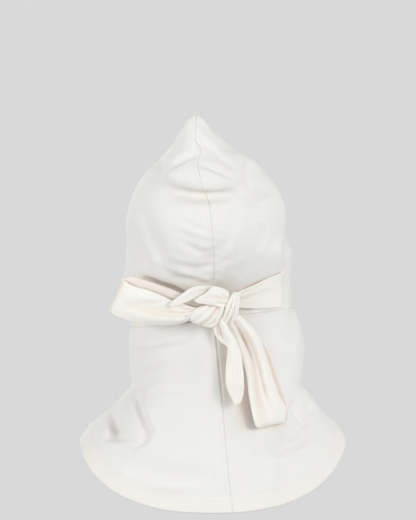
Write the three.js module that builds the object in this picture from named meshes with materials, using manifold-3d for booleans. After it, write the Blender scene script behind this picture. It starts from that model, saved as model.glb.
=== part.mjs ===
// Hijab underscarf cap: a pointed jersey hood over head, neck and shoulders,
// with a face opening and two ties that meet in a bow at the nape.
// Millimetres, +Z up. The wearer faces -Y, and the wearer's left is +X.
// The origin is the seat, where the top of the head meets the crown.
import * as THREE from 'three';
import Module from 'manifold-3d';

const wasm = await Module();
wasm.setup();

// Hood sizes
const HEAD_BREADTH = 169;
const HEAD_DEPTH = 200;
const PEAK_RISE = 36;
const NECK_DROP = 245;
const CLOTH = 1.2;
const SEAM_GAP = 0.3;

// Yoke sizes: how far it reaches from the seat's axis, and how far it falls below the neck
const YOKE_REACH_LEFT = 136.5;
const YOKE_REACH_RIGHT = 141.8;
const YOKE_REACH_BACK = 125;
const YOKE_REACH_FRONT = 118;
const YOKE_DROP_BACK = 133;
const YOKE_DROP_FRONT = 120;
const SHOULDER_DROP = 48;
const HEM_DEPTH = 18;
const HEM_CLOTH = 2.4;

// The neck seam lies on a plane that tilts down towards the wearer's left
const NECK_SEAM_DROP = 176.5;
const NECK_SEAM_TILT = 0.125;

// Face opening
const FACE_WIDTH = 122;
const FACE_HEIGHT = 160;
const FACE_CENTRE_DROP = 141;
const BINDING_WIDTH = 7;
const BINDING_THICKNESS = 2.2;

// Ties and bow
const TIE_WIDTH = 38;
const TIE_CLOTH = 1.8;
const TIE_CLEARANCE = 1.3;
const ANCHOR_TURN_LEFT = 80;
const ANCHOR_TURN_RIGHT = 54;
const KNOT_DROP = 169;
const KNOT_OFFSET = -4.2;
const KNOT_LENGTH = 46;
const BOW_DEPTH = 24;
const LOOP_REACH_LEFT = 109;
const LOOP_DROP_RIGHT = 120;
const TAIL_DROP = 96;
const FLAP_REACH = 46.5;

// Largest depth and usual half width of a fold
const FOLD_DEPTH = 6;
const FOLD_WIDTH = 10;

// Roundness of the hood's level sections, 2 for an ellipse and more for a squarer one
const HEAD_POWER = 2.2;
const HEM_POWER = 2.4;

const HALF_BREADTH = HEAD_BREADTH / 2;
const HALF_DEPTH = HEAD_DEPTH / 2;
const DEGREE = Math.PI / 180;

// Level sections of the hood. drop: share of the peak's rise above the seat, below 0,
// or of the neck's drop under it. left and right: share of half the breadth.
// back and front: share of half the depth.
const RINGS = [
  { drop: -1.0, left: 0.198, right: -0.15, back: 0.4, front: -0.36 },
  { drop: -0.875, left: 0.273, right: -0.075, back: 0.45, front: -0.29 },
  { drop: -0.64, left: 0.336, right: 0.0, back: 0.52, front: -0.13 },
  { drop: -0.29, left: 0.436, right: 0.162, back: 0.6, front: 0.12 },
  { drop: -0.055, left: 0.509, right: 0.272, back: 0.65, front: 0.33 },
  { drop: 0.024, left: 0.585, right: 0.447, back: 0.69, front: 0.48 },
  { drop: 0.06, left: 0.696, right: 0.585, back: 0.74, front: 0.6 },
  { drop: 0.094, left: 0.795, right: 0.684, back: 0.79, front: 0.69 },
  { drop: 0.129, left: 0.87, right: 0.77, back: 0.81, front: 0.76 },
  { drop: 0.171, left: 0.941, right: 0.846, back: 0.82, front: 0.83 },
  { drop: 0.249, left: 1.019, right: 0.933, back: 0.9, front: 0.92 },
  { drop: 0.317, left: 1.044, right: 0.957, back: 0.97, front: 0.98 },
  { drop: 0.386, left: 1.034, right: 0.969, back: 0.98, front: 1.02 },
  { drop: 0.453, left: 1.044, right: 1.019, back: 0.93, front: 1.04 },
  { drop: 0.522, left: 1.082, right: 1.019, back: 0.84, front: 1.05 },
  { drop: 0.592, left: 1.065, right: 1.024, back: 0.73, front: 1.04 },
  { drop: 0.665, left: 1.018, right: 1.047, back: 0.68, front: 1.02 },
  { drop: 0.735, left: 0.976, right: 1.112, back: 0.68, front: 1.0 },
  { drop: 0.831, left: 1.006, right: 1.181, back: 0.72, front: 0.96 },
  { drop: 0.906, left: 1.0, right: 1.178, back: 0.76, front: 0.9 },
  { drop: 1.0, left: 0.994, right: 1.16, back: 0.84, front: 0.84 },
];

// Route of the centre-back seam. drop: as above, and past 1 a share of the yoke's drop.
// x: share of half the breadth, to the wearer's left.
const SEAM = [
  { drop: -1.0, x: 0.168 },
  { drop: -0.27, x: 0.181 },
  { drop: -0.03, x: 0.121 },
  { drop: 0.062, x: 0.149 },
  { drop: 0.171, x: 0.077 },
  { drop: 0.219, x: 0.017 },
  { drop: 0.345, x: -0.027 },
  { drop: 0.516, x: -0.05 },
  { drop: 0.573, x: -0.036 },
  { drop: 0.807, x: -0.08 },
  { drop: 1.088, x: -0.148 },
  { drop: 1.51, x: -0.198 },
  { drop: 2.0, x: -0.273 },
];

// Folds and dents. face: the side that a row's two directions are seen from.
// a0, a1, a2: across, a share of half the breadth, or of half the depth on a side face.
// d0, d1, d2: down, as in the seam's table. The middle pair is a curve's control point.
// width and depth: shares of the fold sizes, and a depth below 0 is a dent.
const FOLDS = [
  // The slack pouch under the peak and the dent below it
  { face: 'back', a0: 0.5, d0: 0.13, a1: 0.1, d1: 0.03, a2: -0.34, d2: 0.15, width: 1.1, depth: 1.0 },
  { face: 'back', a0: 0.42, d0: 0.17, a1: 0.09, d1: 0.215, a2: -0.28, d2: 0.18, width: 0.9, depth: -0.9 },
  { face: 'back', a0: -0.447, d0: 0.06, a1: -0.62, d1: 0.11, a2: -0.72, d2: 0.2, width: 0.9, depth: -0.8 },
  { face: 'back', a0: 0.52, d0: 0.04, a1: 0.63, d1: 0.09, a2: 0.74, d2: 0.18, width: 0.8, depth: -0.5 },
  { face: 'back', a0: 0.174, d0: -0.3, a1: -0.15, d1: 0.05, a2: -0.5, d2: 0.2, width: 0.7, depth: -0.5 },
  // The hollow that the ties draw in round the nape
  { face: 'back', a0: -0.95, d0: 0.5, a1: -0.037, d1: 0.75, a2: 0.9, d2: 0.55, width: 1.6, depth: -1.1 },
  { face: 'back', a0: 0.98, d0: 0.84, a1: 0.55, d1: 0.81, a2: 0.12, d2: 0.76, width: 0.9, depth: -0.5 },
  // Drag folds that run down to the ties
  { face: 'back', a0: 0.81, d0: 0.25, a1: 0.67, d1: 0.42, a2: 0.4, d2: 0.57, width: 0.8, depth: -0.45 },
  { face: 'back', a0: 0.4, d0: 0.33, a1: 0.2, d1: 0.44, a2: -0.02, d2: 0.5, width: 0.7, depth: -0.4 },
  { face: 'back', a0: -0.66, d0: 0.32, a1: -0.57, d1: 0.44, a2: -0.37, d2: 0.55, width: 0.8, depth: -0.45 },
  // The drape of the neck onto the yoke, and the slack across the yoke
  { face: 'back', a0: 0.94, d0: 1.0, a1: 0.86, d1: 1.22, a2: 0.78, d2: 1.48, width: 0.8, depth: -0.5 },
  { face: 'back', a0: 1.24, d0: 1.45, a1: 1.07, d1: 1.47, a2: 0.9, d2: 1.5, width: 0.8, depth: -0.4 },
  { face: 'back', a0: -1.15, d0: 1.0, a1: -1.06, d1: 1.2, a2: -1.2, d2: 1.38, width: 0.8, depth: -0.5 },
  { face: 'back', a0: -1.22, d0: 1.38, a1: -1.14, d1: 1.52, a2: -0.7, d2: 1.53, width: 0.9, depth: -0.4 },
  { face: 'back', a0: 1.0, d0: 1.62, a1: 0.44, d1: 1.74, a2: -0.06, d2: 1.7, width: 1.4, depth: -0.6 },
  // Both sides: pulls from the face edge to the ties, and a slack fold at the neck
  { face: 'left', a0: -0.78, d0: 0.3, a1: -0.3, d1: 0.44, a2: 0.08, d2: 0.52, width: 1.0, depth: -0.5 },
  { face: 'left', a0: -0.72, d0: 0.84, a1: -0.3, d1: 0.7, a2: 0.08, d2: 0.62, width: 1.0, depth: -0.5 },
  { face: 'left', a0: -0.6, d0: 0.98, a1: -0.1, d1: 1.08, a2: 0.45, d2: 1.0, width: 1.0, depth: -0.5 },
  { face: 'right', a0: -0.78, d0: 0.3, a1: -0.3, d1: 0.44, a2: 0.08, d2: 0.52, width: 1.0, depth: -0.5 },
  { face: 'right', a0: -0.72, d0: 0.84, a1: -0.3, d1: 0.7, a2: 0.08, d2: 0.62, width: 1.0, depth: -0.5 },
  { face: 'right', a0: -0.6, d0: 0.98, a1: -0.1, d1: 1.08, a2: 0.45, d2: 1.0, width: 1.0, depth: -0.5 },
  // Front: a swag under the chin and two long ripples down the chest
  { face: 'front', a0: -0.62, d0: 0.95, a1: 0.0, d1: 1.09, a2: 0.62, d2: 0.95, width: 1.0, depth: -0.6 },
  { face: 'front', a0: 0.3, d0: 1.0, a1: 0.42, d1: 1.35, a2: 0.5, d2: 1.8, width: 1.4, depth: -0.7 },
  { face: 'front', a0: -0.3, d0: 1.0, a1: -0.44, d1: 1.35, a2: -0.54, d2: 1.8, width: 1.4, depth: -0.7 },
];

// Ties on the hood, from the knot to the stitched end. along: share of the anchor's turn.
// skew: how far the upper edge runs past the lower. high and low: edges above the knot,
// in tie widths. lift: height over the cloth, a share of the bow's depth.
const BAND_RIGHT = [
  { along: 0.05, skew: 0.0, high: 0.42, low: 0.12, lift: 0.4 },
  { along: 0.22, skew: 0.0, high: 0.47, low: 0.06, lift: 0.24 },
  { along: 0.5, skew: 0.0, high: 0.68, low: 0.06, lift: 0.07 },
  { along: 0.78, skew: 0.02, high: 0.94, low: 0.08, lift: 0.0 },
  { along: 1.0, skew: 0.1, high: 1.1, low: 0.1, lift: 0.0 },
];
const BAND_LEFT = [
  { along: 0.05, skew: 0.0, high: 0.4, low: 0.1, lift: 0.3 },
  { along: 0.25, skew: 0.0, high: 0.5, low: 0.05, lift: 0.12 },
  { along: 0.55, skew: 0.0, high: 0.8, low: -0.08, lift: 0.0 },
  { along: 0.8, skew: 0.0, high: 0.94, low: -0.06, lift: 0.0 },
  { along: 1.0, skew: 0.0, high: 0.97, low: -0.03, lift: 0.0 },
];

// Free ribbons of the bow. run: share of the piece's reach from the knot.
// skew: how far edge one runs past edge two. one and two: the edges beside the run,
// in tie widths from the knot. out: height of the ribbon over the hood, and lean: how much
// higher edge one is, both shares of the bow's depth. belly: bulge, a share of that depth.
const LOOP_LEFT = [
  { run: 0.1, skew: 0.0, one: 0.16, two: -0.06, out: 0.38, lean: 0.0, belly: 0.0 },
  { run: 0.28, skew: 0.0, one: 0.34, two: -0.15, out: 0.32, lean: 0.0, belly: 0.02 },
  { run: 0.46, skew: 0.0, one: 0.6, two: -0.26, out: 0.2, lean: 0.0, belly: 0.04 },
  { run: 0.64, skew: 0.0, one: 0.85, two: -0.26, out: 0.02, lean: 0.0, belly: 0.04 },
  { run: 0.82, skew: -0.04, one: 0.95, two: -0.16, out: -0.2, lean: 0.0, belly: 0.0 },
  { run: 0.93, skew: -0.13, one: 0.84, two: -0.04, out: -0.17, lean: 0.0, belly: 0.0 },
  { run: 0.82, skew: -0.06, one: 0.74, two: -0.22, out: 0.06, lean: 0.0, belly: 0.05 },
  { run: 0.615, skew: 0.0, one: 0.58, two: -0.37, out: 0.42, lean: 0.0, belly: 0.14 },
  { run: 0.47, skew: 0.0, one: 0.43, two: -0.38, out: 0.58, lean: 0.0, belly: 0.16 },
  { run: 0.33, skew: 0.0, one: 0.25, two: -0.3, out: 0.66, lean: 0.0, belly: 0.12 },
  { run: 0.21, skew: 0.0, one: 0.13, two: -0.1, out: 0.64, lean: 0.0, belly: 0.06 },
  { run: 0.08, skew: 0.0, one: 0.11, two: -0.05, out: 0.55, lean: 0.0, belly: 0.0 },
];
const LOOP_RIGHT = [
  { run: 0.03, skew: 0.0, one: -0.22, two: -0.74, out: 0.16, lean: 0.0, belly: 0.0 },
  { run: 0.11, skew: 0.0, one: -0.33, two: -0.98, out: 0.14, lean: 0.0, belly: 0.0 },
  { run: 0.22, skew: 0.0, one: -0.5, two: -1.23, out: 0.13, lean: 0.0, belly: 0.0 },
  { run: 0.36, skew: 0.0, one: -0.66, two: -1.44, out: 0.13, lean: 0.0, belly: 0.0 },
  { run: 0.57, skew: 0.0, one: -0.82, two: -1.66, out: 0.13, lean: 0.0, belly: 0.0 },
  { run: 0.71, skew: 0.0, one: -0.9, two: -1.88, out: 0.13, lean: 0.0, belly: 0.0 },
  { run: 0.86, skew: 0.0, one: -1.02, two: -2.0, out: 0.14, lean: 0.0, belly: 0.0 },
  { run: 0.97, skew: 0.04, one: -1.17, two: -1.96, out: 0.3, lean: 0.0, belly: 0.0 },
  { run: 0.87, skew: 0.0, one: -1.13, two: -1.98, out: 0.46, lean: 0.0, belly: 0.05 },
  { run: 0.74, skew: 0.0, one: -1.06, two: -1.84, out: 0.5, lean: -0.08, belly: 0.08 },
  { run: 0.6, skew: 0.0, one: -0.99, two: -1.6, out: 0.5, lean: -0.14, belly: 0.1 },
  { run: 0.45, skew: 0.0, one: -0.83, two: -1.4, out: 0.48, lean: -0.18, belly: 0.1 },
  { run: 0.3, skew: 0.0, one: -0.62, two: -1.24, out: 0.48, lean: -0.16, belly: 0.08 },
  { run: 0.15, skew: 0.0, one: -0.41, two: -0.97, out: 0.52, lean: -0.06, belly: 0.04 },
  { run: 0.05, skew: 0.0, one: -0.33, two: -0.78, out: 0.52, lean: 0.0, belly: 0.0 },
];
const TAIL_LONG = [
  { run: 0.1, skew: 0.0, one: 0.0, two: -0.36, out: 0.62, lean: 0.0, belly: 0.0 },
  { run: 0.2, skew: 0.0, one: -0.02, two: -0.46, out: 0.74, lean: 0.0, belly: 0.05 },
  { run: 0.29, skew: 0.0, one: -0.14, two: -0.57, out: 0.8, lean: 0.0, belly: 0.08 },
  { run: 0.42, skew: 0.0, one: -0.34, two: -0.71, out: 0.8, lean: 0.0, belly: 0.1 },
  { run: 0.56, skew: 0.0, one: -0.33, two: -0.79, out: 0.76, lean: 0.0, belly: 0.12 },
  { run: 0.72, skew: 0.0, one: -0.31, two: -0.83, out: 0.7, lean: 0.0, belly: 0.12 },
  { run: 0.84, skew: 0.0, one: -0.38, two: -0.82, out: 0.66, lean: 0.0, belly: 0.1 },
  { run: 0.93, skew: 0.0, one: -0.49, two: -0.77, out: 0.62, lean: 0.0, belly: 0.05 },
  { run: 1.0, skew: 0.0, one: -0.56, two: -0.63, out: 0.6, lean: 0.0, belly: 0.0 },
];
const TAIL_SHORT = [
  { run: -0.3, skew: 0.0, one: 0.52, two: 0.2, out: 0.72, lean: 0.0, belly: 0.0 },
  { run: -0.05, skew: 0.0, one: 0.71, two: 0.15, out: 0.98, lean: 0.0, belly: 0.12 },
  { run: 0.25, skew: 0.0, one: 0.7, two: 0.22, out: 1.06, lean: 0.0, belly: 0.14 },
  { run: 0.54, skew: 0.0, one: 0.63, two: 0.3, out: 1.04, lean: 0.0, belly: 0.08 },
  { run: 0.77, skew: 0.0, one: 0.46, two: 0.19, out: 0.96, lean: 0.0, belly: 0.04 },
  { run: 0.95, skew: 0.0, one: 0.28, two: 0.1, out: 0.88, lean: 0.0, belly: 0.0 },
  { run: 1.0, skew: 0.0, one: 0.15, two: 0.08, out: 0.86, lean: 0.0, belly: 0.0 },
];

// Rolled pieces of the knot. x and z: place from the knot's middle, share of its length,
// to the wearer's left and up. wide: share of the tie width. deep and out: thickness and
// height over the hood, shares of the bow's depth.
const KNOT_ROLL = [
  { x: -0.36, z: 0.24, wide: 0.3, deep: 0.3, out: 0.34 },
  { x: -0.22, z: 0.12, wide: 0.5, deep: 0.55, out: 0.44 },
  { x: 0.0, z: -0.04, wide: 0.64, deep: 0.72, out: 0.54 },
  { x: 0.24, z: -0.1, wide: 0.64, deep: 0.7, out: 0.54 },
  { x: 0.42, z: -0.14, wide: 0.48, deep: 0.54, out: 0.46 },
  { x: 0.52, z: -0.15, wide: 0.16, deep: 0.2, out: 0.4 },
];
const KNOT_WRAP = [
  { x: -0.58, z: 0.5, wide: 0.26, deep: 0.16, out: 0.24 },
  { x: -0.48, z: 0.34, wide: 0.44, deep: 0.3, out: 0.56 },
  { x: -0.36, z: 0.12, wide: 0.5, deep: 0.36, out: 0.8 },
  { x: -0.22, z: -0.12, wide: 0.46, deep: 0.36, out: 0.78 },
  { x: -0.1, z: -0.3, wide: 0.36, deep: 0.3, out: 0.5 },
  { x: 0.0, z: -0.42, wide: 0.22, deep: 0.16, out: 0.2 },
];

// Mesh fineness
const CROWN_COLUMNS = 22;
const ROWS_OVER_BROW = 13;
const ROWS_BESIDE_FACE = 15;
const YOKE_COLUMNS = 22;
const ROWS_BESIDE_CHIN = 5;
const ROWS_UNDER_CHIN = 10;
const HEM_ROWS = 2;
const BINDING_STEPS = 48;
const RIBBON_SPANS = 4;
const STEPS_PER_ROW = 2;
const ROLL_SIDES = 12;

const clamp = THREE.MathUtils.clamp;
const lerp = THREE.MathUtils.lerp;

// Depth under the seat of a drop given in the tables' shares
function depthOf(drop) {
  if (drop < 0) return drop * PEAK_RISE;
  if (drop <= 1) return drop * NECK_DROP;
  return NECK_DROP + (drop - 1) * YOKE_DROP_BACK;
}

// Smooth curve through a table's rows, read at one value of its key column
function readTable(rows, key, at) {
  let i = 0;
  while (i < rows.length - 2 && at > rows[i + 1][key]) i += 1;
  const before = rows[Math.max(i - 1, 0)];
  const start = rows[i];
  const end = rows[i + 1];
  const after = rows[Math.min(i + 2, rows.length - 1)];
  const span = end[key] - start[key];
  const t = clamp((at - start[key]) / span, 0, 1);
  const result = {};
  for (const name of Object.keys(start)) {
    const startSlope = ((end[name] - before[name]) / (end[key] - before[key])) * span;
    const endSlope = ((after[name] - start[name]) / (after[key] - start[key])) * span;
    const rise = end[name] - start[name];
    const bend = 3 * rise - 2 * startSlope - endSlope;
    const twist = startSlope + endSlope - 2 * rise;
    result[name] = start[name] + t * (startSlope + t * (bend + t * twist));
  }
  return result;
}

const ringRows = RINGS.map((row) => ({
  depth: depthOf(row.drop),
  left: row.left * HALF_BREADTH,
  right: row.right * HALF_BREADTH,
  back: row.back * HALF_DEPTH,
  front: row.front * HALF_DEPTH,
}));
const seamRows = SEAM.map((row) => ({ depth: depthOf(row.drop), x: row.x * HALF_BREADTH }));

// A level section as a centre, two half sizes and a roundness
function sectionOf(row, power) {
  return {
    x: (row.left - row.right) / 2,
    y: (row.back - row.front) / 2,
    halfX: (row.left + row.right) / 2,
    halfY: (row.back + row.front) / 2,
    power,
  };
}

const hemSection = sectionOf(
  {
    left: YOKE_REACH_LEFT,
    right: YOKE_REACH_RIGHT,
    back: YOKE_REACH_BACK,
    front: YOKE_REACH_FRONT,
  },
  HEM_POWER,
);

function headSection(level) {
  return sectionOf(readTable(ringRows, 'depth', -level), HEAD_POWER);
}

// A point on a section. The turn is 0 at the back and grows to the wearer's left.
function onSection(section, turn) {
  const across = Math.abs(Math.sin(turn)) / section.halfX;
  const along = Math.abs(Math.cos(turn)) / section.halfY;
  const radius = (across ** section.power + along ** section.power) ** (-1 / section.power);
  return { x: section.x + radius * Math.sin(turn), y: section.y + radius * Math.cos(turn) };
}

// The turn at which a section is a given way beside its centre, on the back or the front
function turnBeside(section, beside, facing) {
  const share = clamp(Math.abs(beside) / section.halfX, 0, 1);
  const along = section.halfY * (1 - share ** section.power) ** (1 / section.power);
  return Math.atan2(beside, facing * along);
}

// How far the hem falls below the neck, from the shoulder's ridge to the back or the chest
const RIDGE_ROUNDING = 0.35;
function hemDrop(y) {
  const reach = y > 0 ? YOKE_REACH_BACK : YOKE_REACH_FRONT;
  const full = y > 0 ? YOKE_DROP_BACK : YOKE_DROP_FRONT;
  const rounded = Math.hypot(y / reach, RIDGE_ROUNDING) - RIDGE_ROUNDING;
  const share = rounded / (Math.hypot(1, RIDGE_ROUNDING) - RIDGE_ROUNDING);
  return lerp(SHOULDER_DROP, full, share);
}

// The hood without folds. Down to the neck a level is a height, and past it the yoke's share
// times its drop at the back.
function plainSurface(turn, level) {
  const neck = onSection(headSection(Math.max(level, -NECK_DROP)), turn);
  if (level >= -NECK_DROP) return new THREE.Vector3(neck.x, neck.y, level);
  const share = (-NECK_DROP - level) / YOKE_DROP_BACK;
  const hem = onSection(hemSection, turn);
  const spread = (share * (1 + share)) / 2;
  return new THREE.Vector3(
    lerp(neck.x, hem.x, spread),
    lerp(neck.y, hem.y, spread),
    -NECK_DROP - share * hemDrop(hem.y),
  );
}

// Curves of the folds, as points in millimetres
const FOLD_STEPS = 10;
const foldCurves = FOLDS.map((fold) => {
  const unit = fold.face === 'left' || fold.face === 'right' ? HALF_DEPTH : HALF_BREADTH;
  const curve = new THREE.QuadraticBezierCurve(
    new THREE.Vector2(fold.a0 * unit, -depthOf(fold.d0)),
    new THREE.Vector2(fold.a1 * unit, -depthOf(fold.d1)),
    new THREE.Vector2(fold.a2 * unit, -depthOf(fold.d2)),
  );
  return {
    face: fold.face,
    points: curve.getPoints(FOLD_STEPS),
    width: fold.width * FOLD_WIDTH,
    depth: fold.depth * FOLD_DEPTH,
  };
});

// How much a face sees of the hood at a turn, from 0 to 1
const FACE_TURNS = { back: 0, left: 90 * DEGREE, front: 180 * DEGREE, right: -90 * DEGREE };
const FACE_FADE = 2.5;
function seenFrom(face, turn) {
  return clamp(Math.cos(turn - FACE_TURNS[face]) * FACE_FADE, 0, 1);
}

// Height of one fold at a place, highest on its curve and nothing at its ends
function foldHeight(fold, across, level) {
  let nearest = Infinity;
  let place = 0;
  for (let i = 0; i < FOLD_STEPS; i += 1) {
    const from = fold.points[i];
    const to = fold.points[i + 1];
    const dx = to.x - from.x;
    const dz = to.y - from.y;
    const t = clamp(((across - from.x) * dx + (level - from.y) * dz) / (dx * dx + dz * dz), 0, 1);
    const gap = Math.hypot(across - from.x - t * dx, level - from.y - t * dz);
    if (gap < nearest) {
      nearest = gap;
      place = (i + t) / FOLD_STEPS;
    }
  }
  const taper = Math.sqrt(Math.max(Math.sin(Math.PI * place), 0));
  return fold.depth * taper * Math.exp(-((nearest / fold.width) ** 2));
}

function foldsAt(turn, point) {
  let height = 0;
  for (const fold of foldCurves) {
    const seen = seenFrom(fold.face, turn);
    if (seen > 0) {
      const sideways = fold.face === 'left' || fold.face === 'right';
      height += seen * foldHeight(fold, sideways ? point.y : point.x, point.z);
    }
  }
  return height;
}

// The hood's outer face, with its folds standing out level from the seat's axis
function surface(turn, level) {
  const point = plainSurface(turn, level);
  const height = foldsAt(turn, point);
  point.x += height * Math.sin(turn);
  point.y += height * Math.cos(turn);
  return point;
}

// The outer face moved out along its own normal
const TURN_STEP = 0.01;
const LEVEL_STEP = 0.5;
function offSurface(turn, level, height) {
  const across = surface(turn + TURN_STEP, level).sub(surface(turn - TURN_STEP, level));
  const down = surface(turn, level - LEVEL_STEP).sub(surface(turn, level + LEVEL_STEP));
  const normal = across.cross(down).normalize();
  if (normal.x * Math.sin(turn) + normal.y * Math.cos(turn) < 0) normal.negate();
  return surface(turn, level).addScaledVector(normal, height);
}

// Level of a height on the yoke, where a level falls less at the shoulders than at the back
function levelAt(turn, z) {
  if (z >= -NECK_DROP) return z;
  const fall = hemDrop(onSection(hemSection, turn).y);
  return -NECK_DROP - ((-NECK_DROP - z) / fall) * YOKE_DROP_BACK;
}

// How far back the hood reaches at a place seen from behind, or null beside its outline
const WIDEST_TURN = 86 * DEGREE;
const SEARCH_STEPS = 26;
function backFace(x, z, shape) {
  let low = -WIDEST_TURN;
  let high = WIDEST_TURN;
  if (x < shape(low, levelAt(low, z)).x || x > shape(high, levelAt(high, z)).x) return null;
  for (let i = 0; i < SEARCH_STEPS; i += 1) {
    const middle = (low + high) / 2;
    if (shape(middle, levelAt(middle, z)).x < x) low = middle;
    else high = middle;
  }
  return shape(low, levelAt(low, z)).y;
}

// A closed body from points and triangles, turned so that its faces point out
function makeBody(points, triangles) {
  let volume = 0;
  for (const [a, b, c] of triangles) {
    volume += points[a].dot(new THREE.Vector3().crossVectors(points[b], points[c]));
  }
  const turned = volume < 0 ? triangles.map(([a, b, c]) => [a, c, b]) : triangles;
  return { points, triangles: turned };
}

// A cloth wall between an outer and an inner grid of points, closed round its edges
function wall(rows, columns, outer, inner, ring = false) {
  const points = [];
  for (const face of [outer, inner]) {
    for (let r = 0; r <= rows; r += 1) {
      for (let c = 0; c <= columns; c += 1) {
        if (!ring || c < columns) points.push(face(r, c));
      }
    }
  }
  const width = ring ? columns : columns + 1;
  const size = (rows + 1) * width;
  const at = (face, r, c) => face * size + r * width + (ring ? c % columns : c);
  const triangles = [];
  const quad = (a, b, c, d) => triangles.push([a, b, c], [a, c, d]);
  for (let r = 0; r < rows; r += 1) {
    for (let c = 0; c < columns; c += 1) {
      quad(at(0, r, c), at(0, r, c + 1), at(0, r + 1, c + 1), at(0, r + 1, c));
      quad(at(1, r, c), at(1, r + 1, c), at(1, r + 1, c + 1), at(1, r, c + 1));
    }
  }
  for (let c = 0; c < columns; c += 1) {
    quad(at(0, 0, c), at(1, 0, c), at(1, 0, c + 1), at(0, 0, c + 1));
    quad(at(0, rows, c), at(0, rows, c + 1), at(1, rows, c + 1), at(1, rows, c));
  }
  for (let r = 0; r < rows && !ring; r += 1) {
    quad(at(0, r, 0), at(0, r + 1, 0), at(1, r + 1, 0), at(1, r, 0));
    quad(at(0, r, columns), at(1, r, columns), at(1, r + 1, columns), at(0, r + 1, columns));
  }
  return makeBody(points, triangles);
}

// A closed body through sections of equal numbers of points. A flat section's two faces mirror
// each other, so its ends close with strips, and a round one's with a fan.
function loft(sections, flat) {
  const sides = sections[0].length;
  const points = sections.flat();
  const triangles = [];
  for (let s = 0; s < sections.length - 1; s += 1) {
    for (let i = 0; i < sides; i += 1) {
      const a = s * sides + i;
      const b = s * sides + ((i + 1) % sides);
      triangles.push([a, b, b + sides], [a, b + sides, a + sides]);
    }
  }
  const last = (sections.length - 1) * sides;
  if (flat) {
    for (let i = 0; i < sides / 2 - 1; i += 1) {
      const j = sides - 1 - i;
      triangles.push([i, j, j - 1], [i, j - 1, i + 1]);
      triangles.push([last + i, last + j - 1, last + j], [last + i, last + i + 1, last + j - 1]);
    }
  } else {
    for (let i = 1; i < sides - 1; i += 1) {
      triangles.push([0, i + 1, i], [last, last + i, last + i + 1]);
    }
  }
  return makeBody(points, triangles);
}

// Face opening: its edge at an angle round it, 0 at the brow, as a level and a turn
function faceEdge(side, angle, inset) {
  const level = -FACE_CENTRE_DROP + (FACE_HEIGHT / 2 - inset) * Math.cos(angle);
  const beside = side * (FACE_WIDTH / 2 - inset) * Math.sin(angle);
  return { level, turn: turnBeside(headSection(level), beside, -1) };
}

function neckSeamLevel(turn) {
  return -NECK_SEAM_DROP - NECK_SEAM_TILT * onSection(headSection(-NECK_SEAM_DROP), turn).x;
}

// The angle round the face opening at which the neck seam meets it
function jawAngle(side) {
  let level = -NECK_SEAM_DROP;
  let angle = Math.PI / 2;
  for (let i = 0; i < 6; i += 1) {
    angle = Math.acos((level + FACE_CENTRE_DROP) / (FACE_HEIGHT / 2));
    level = neckSeamLevel(faceEdge(side, angle, 0).turn);
  }
  return angle;
}

// The turn of the centre-back seam at a level, and of the two front edges that meet on
// the centre line, each kept half a gap from it
function backTurn(side, level) {
  const section = level >= -NECK_DROP ? headSection(level) : null;
  const seam = readTable(seamRows, 'depth', -level).x + (side * SEAM_GAP) / 2;
  if (section) return turnBeside(section, seam - section.x, 1);
  let turn = 0;
  for (let i = 0; i < 8; i += 1) {
    const point = plainSurface(turn, level);
    turn += (seam - point.x) / point.y;
  }
  return turn;
}

function frontTurn(side, level) {
  const point = plainSurface(Math.PI, level);
  const centre = level >= -NECK_DROP ? headSection(level) : hemSection;
  return side * (Math.PI - SEAM_GAP / 2 / Math.abs(point.y - centre.y));
}

// The straight edges between a panel's points stay outside the opening
function chordInset(angleStep) {
  return (Math.max(FACE_WIDTH, FACE_HEIGHT) / 2) * (1 - 1 / Math.cos(angleStep / 2));
}

// Rows near the face opening bend from the seam behind to the opening's edge in front
const EDGE_PULL = 3;
function bentRow(side, columns, backLevel, edge, lineLevel) {
  const start = backTurn(side, backLevel);
  return (c) => {
    const share = c / columns;
    const turn = lerp(start, edge.turn, share);
    return { turn, level: lerp(lineLevel(turn), edge.level, share ** EDGE_PULL) };
  };
}

function levelRow(side, columns, level) {
  const start = backTurn(side, level);
  const end = frontTurn(side, level);
  return (c) => ({ turn: lerp(start, end, c / columns), level });
}

function panelWall(rows, columns) {
  const outer = (r, c) => {
    const place = rows[r](c);
    return offSurface(place.turn, place.level, 0);
  };
  const inner = (r, c) => {
    const place = rows[r](c);
    return offSurface(place.turn, place.level, -CLOTH);
  };
  return wall(rows.length - 1, columns, outer, inner);
}

function crownPanel(side) {
  const brow = -FACE_CENTRE_DROP + FACE_HEIGHT / 2;
  const jaw = jawAngle(side);
  const rows = [];
  for (let r = 0; r < ROWS_OVER_BROW; r += 1) {
    const level = lerp(PEAK_RISE, brow, r / ROWS_OVER_BROW);
    rows.push(levelRow(side, CROWN_COLUMNS, level));
  }
  for (let r = 0; r <= ROWS_BESIDE_FACE; r += 1) {
    const share = r / ROWS_BESIDE_FACE;
    const edge = faceEdge(side, share * jaw, chordInset(jaw / ROWS_BESIDE_FACE));
    if (r === 0) edge.turn = frontTurn(side, brow);
    const line = (turn) => lerp(brow, neckSeamLevel(turn) + SEAM_GAP / 2, share);
    edge.level = Math.max(edge.level, r === ROWS_BESIDE_FACE ? line(edge.turn) : -Infinity);
    rows.push(bentRow(side, CROWN_COLUMNS, line(0), edge, line));
  }
  return panelWall(rows, CROWN_COLUMNS);
}

// The hem's upper edge, at an even distance from the lower one
function hemTop(turn) {
  const hem = -NECK_DROP - YOKE_DROP_BACK;
  const slope = plainSurface(turn, hem + 1).distanceTo(plainSurface(turn, hem));
  return hem + HEM_DEPTH / slope;
}

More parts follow.
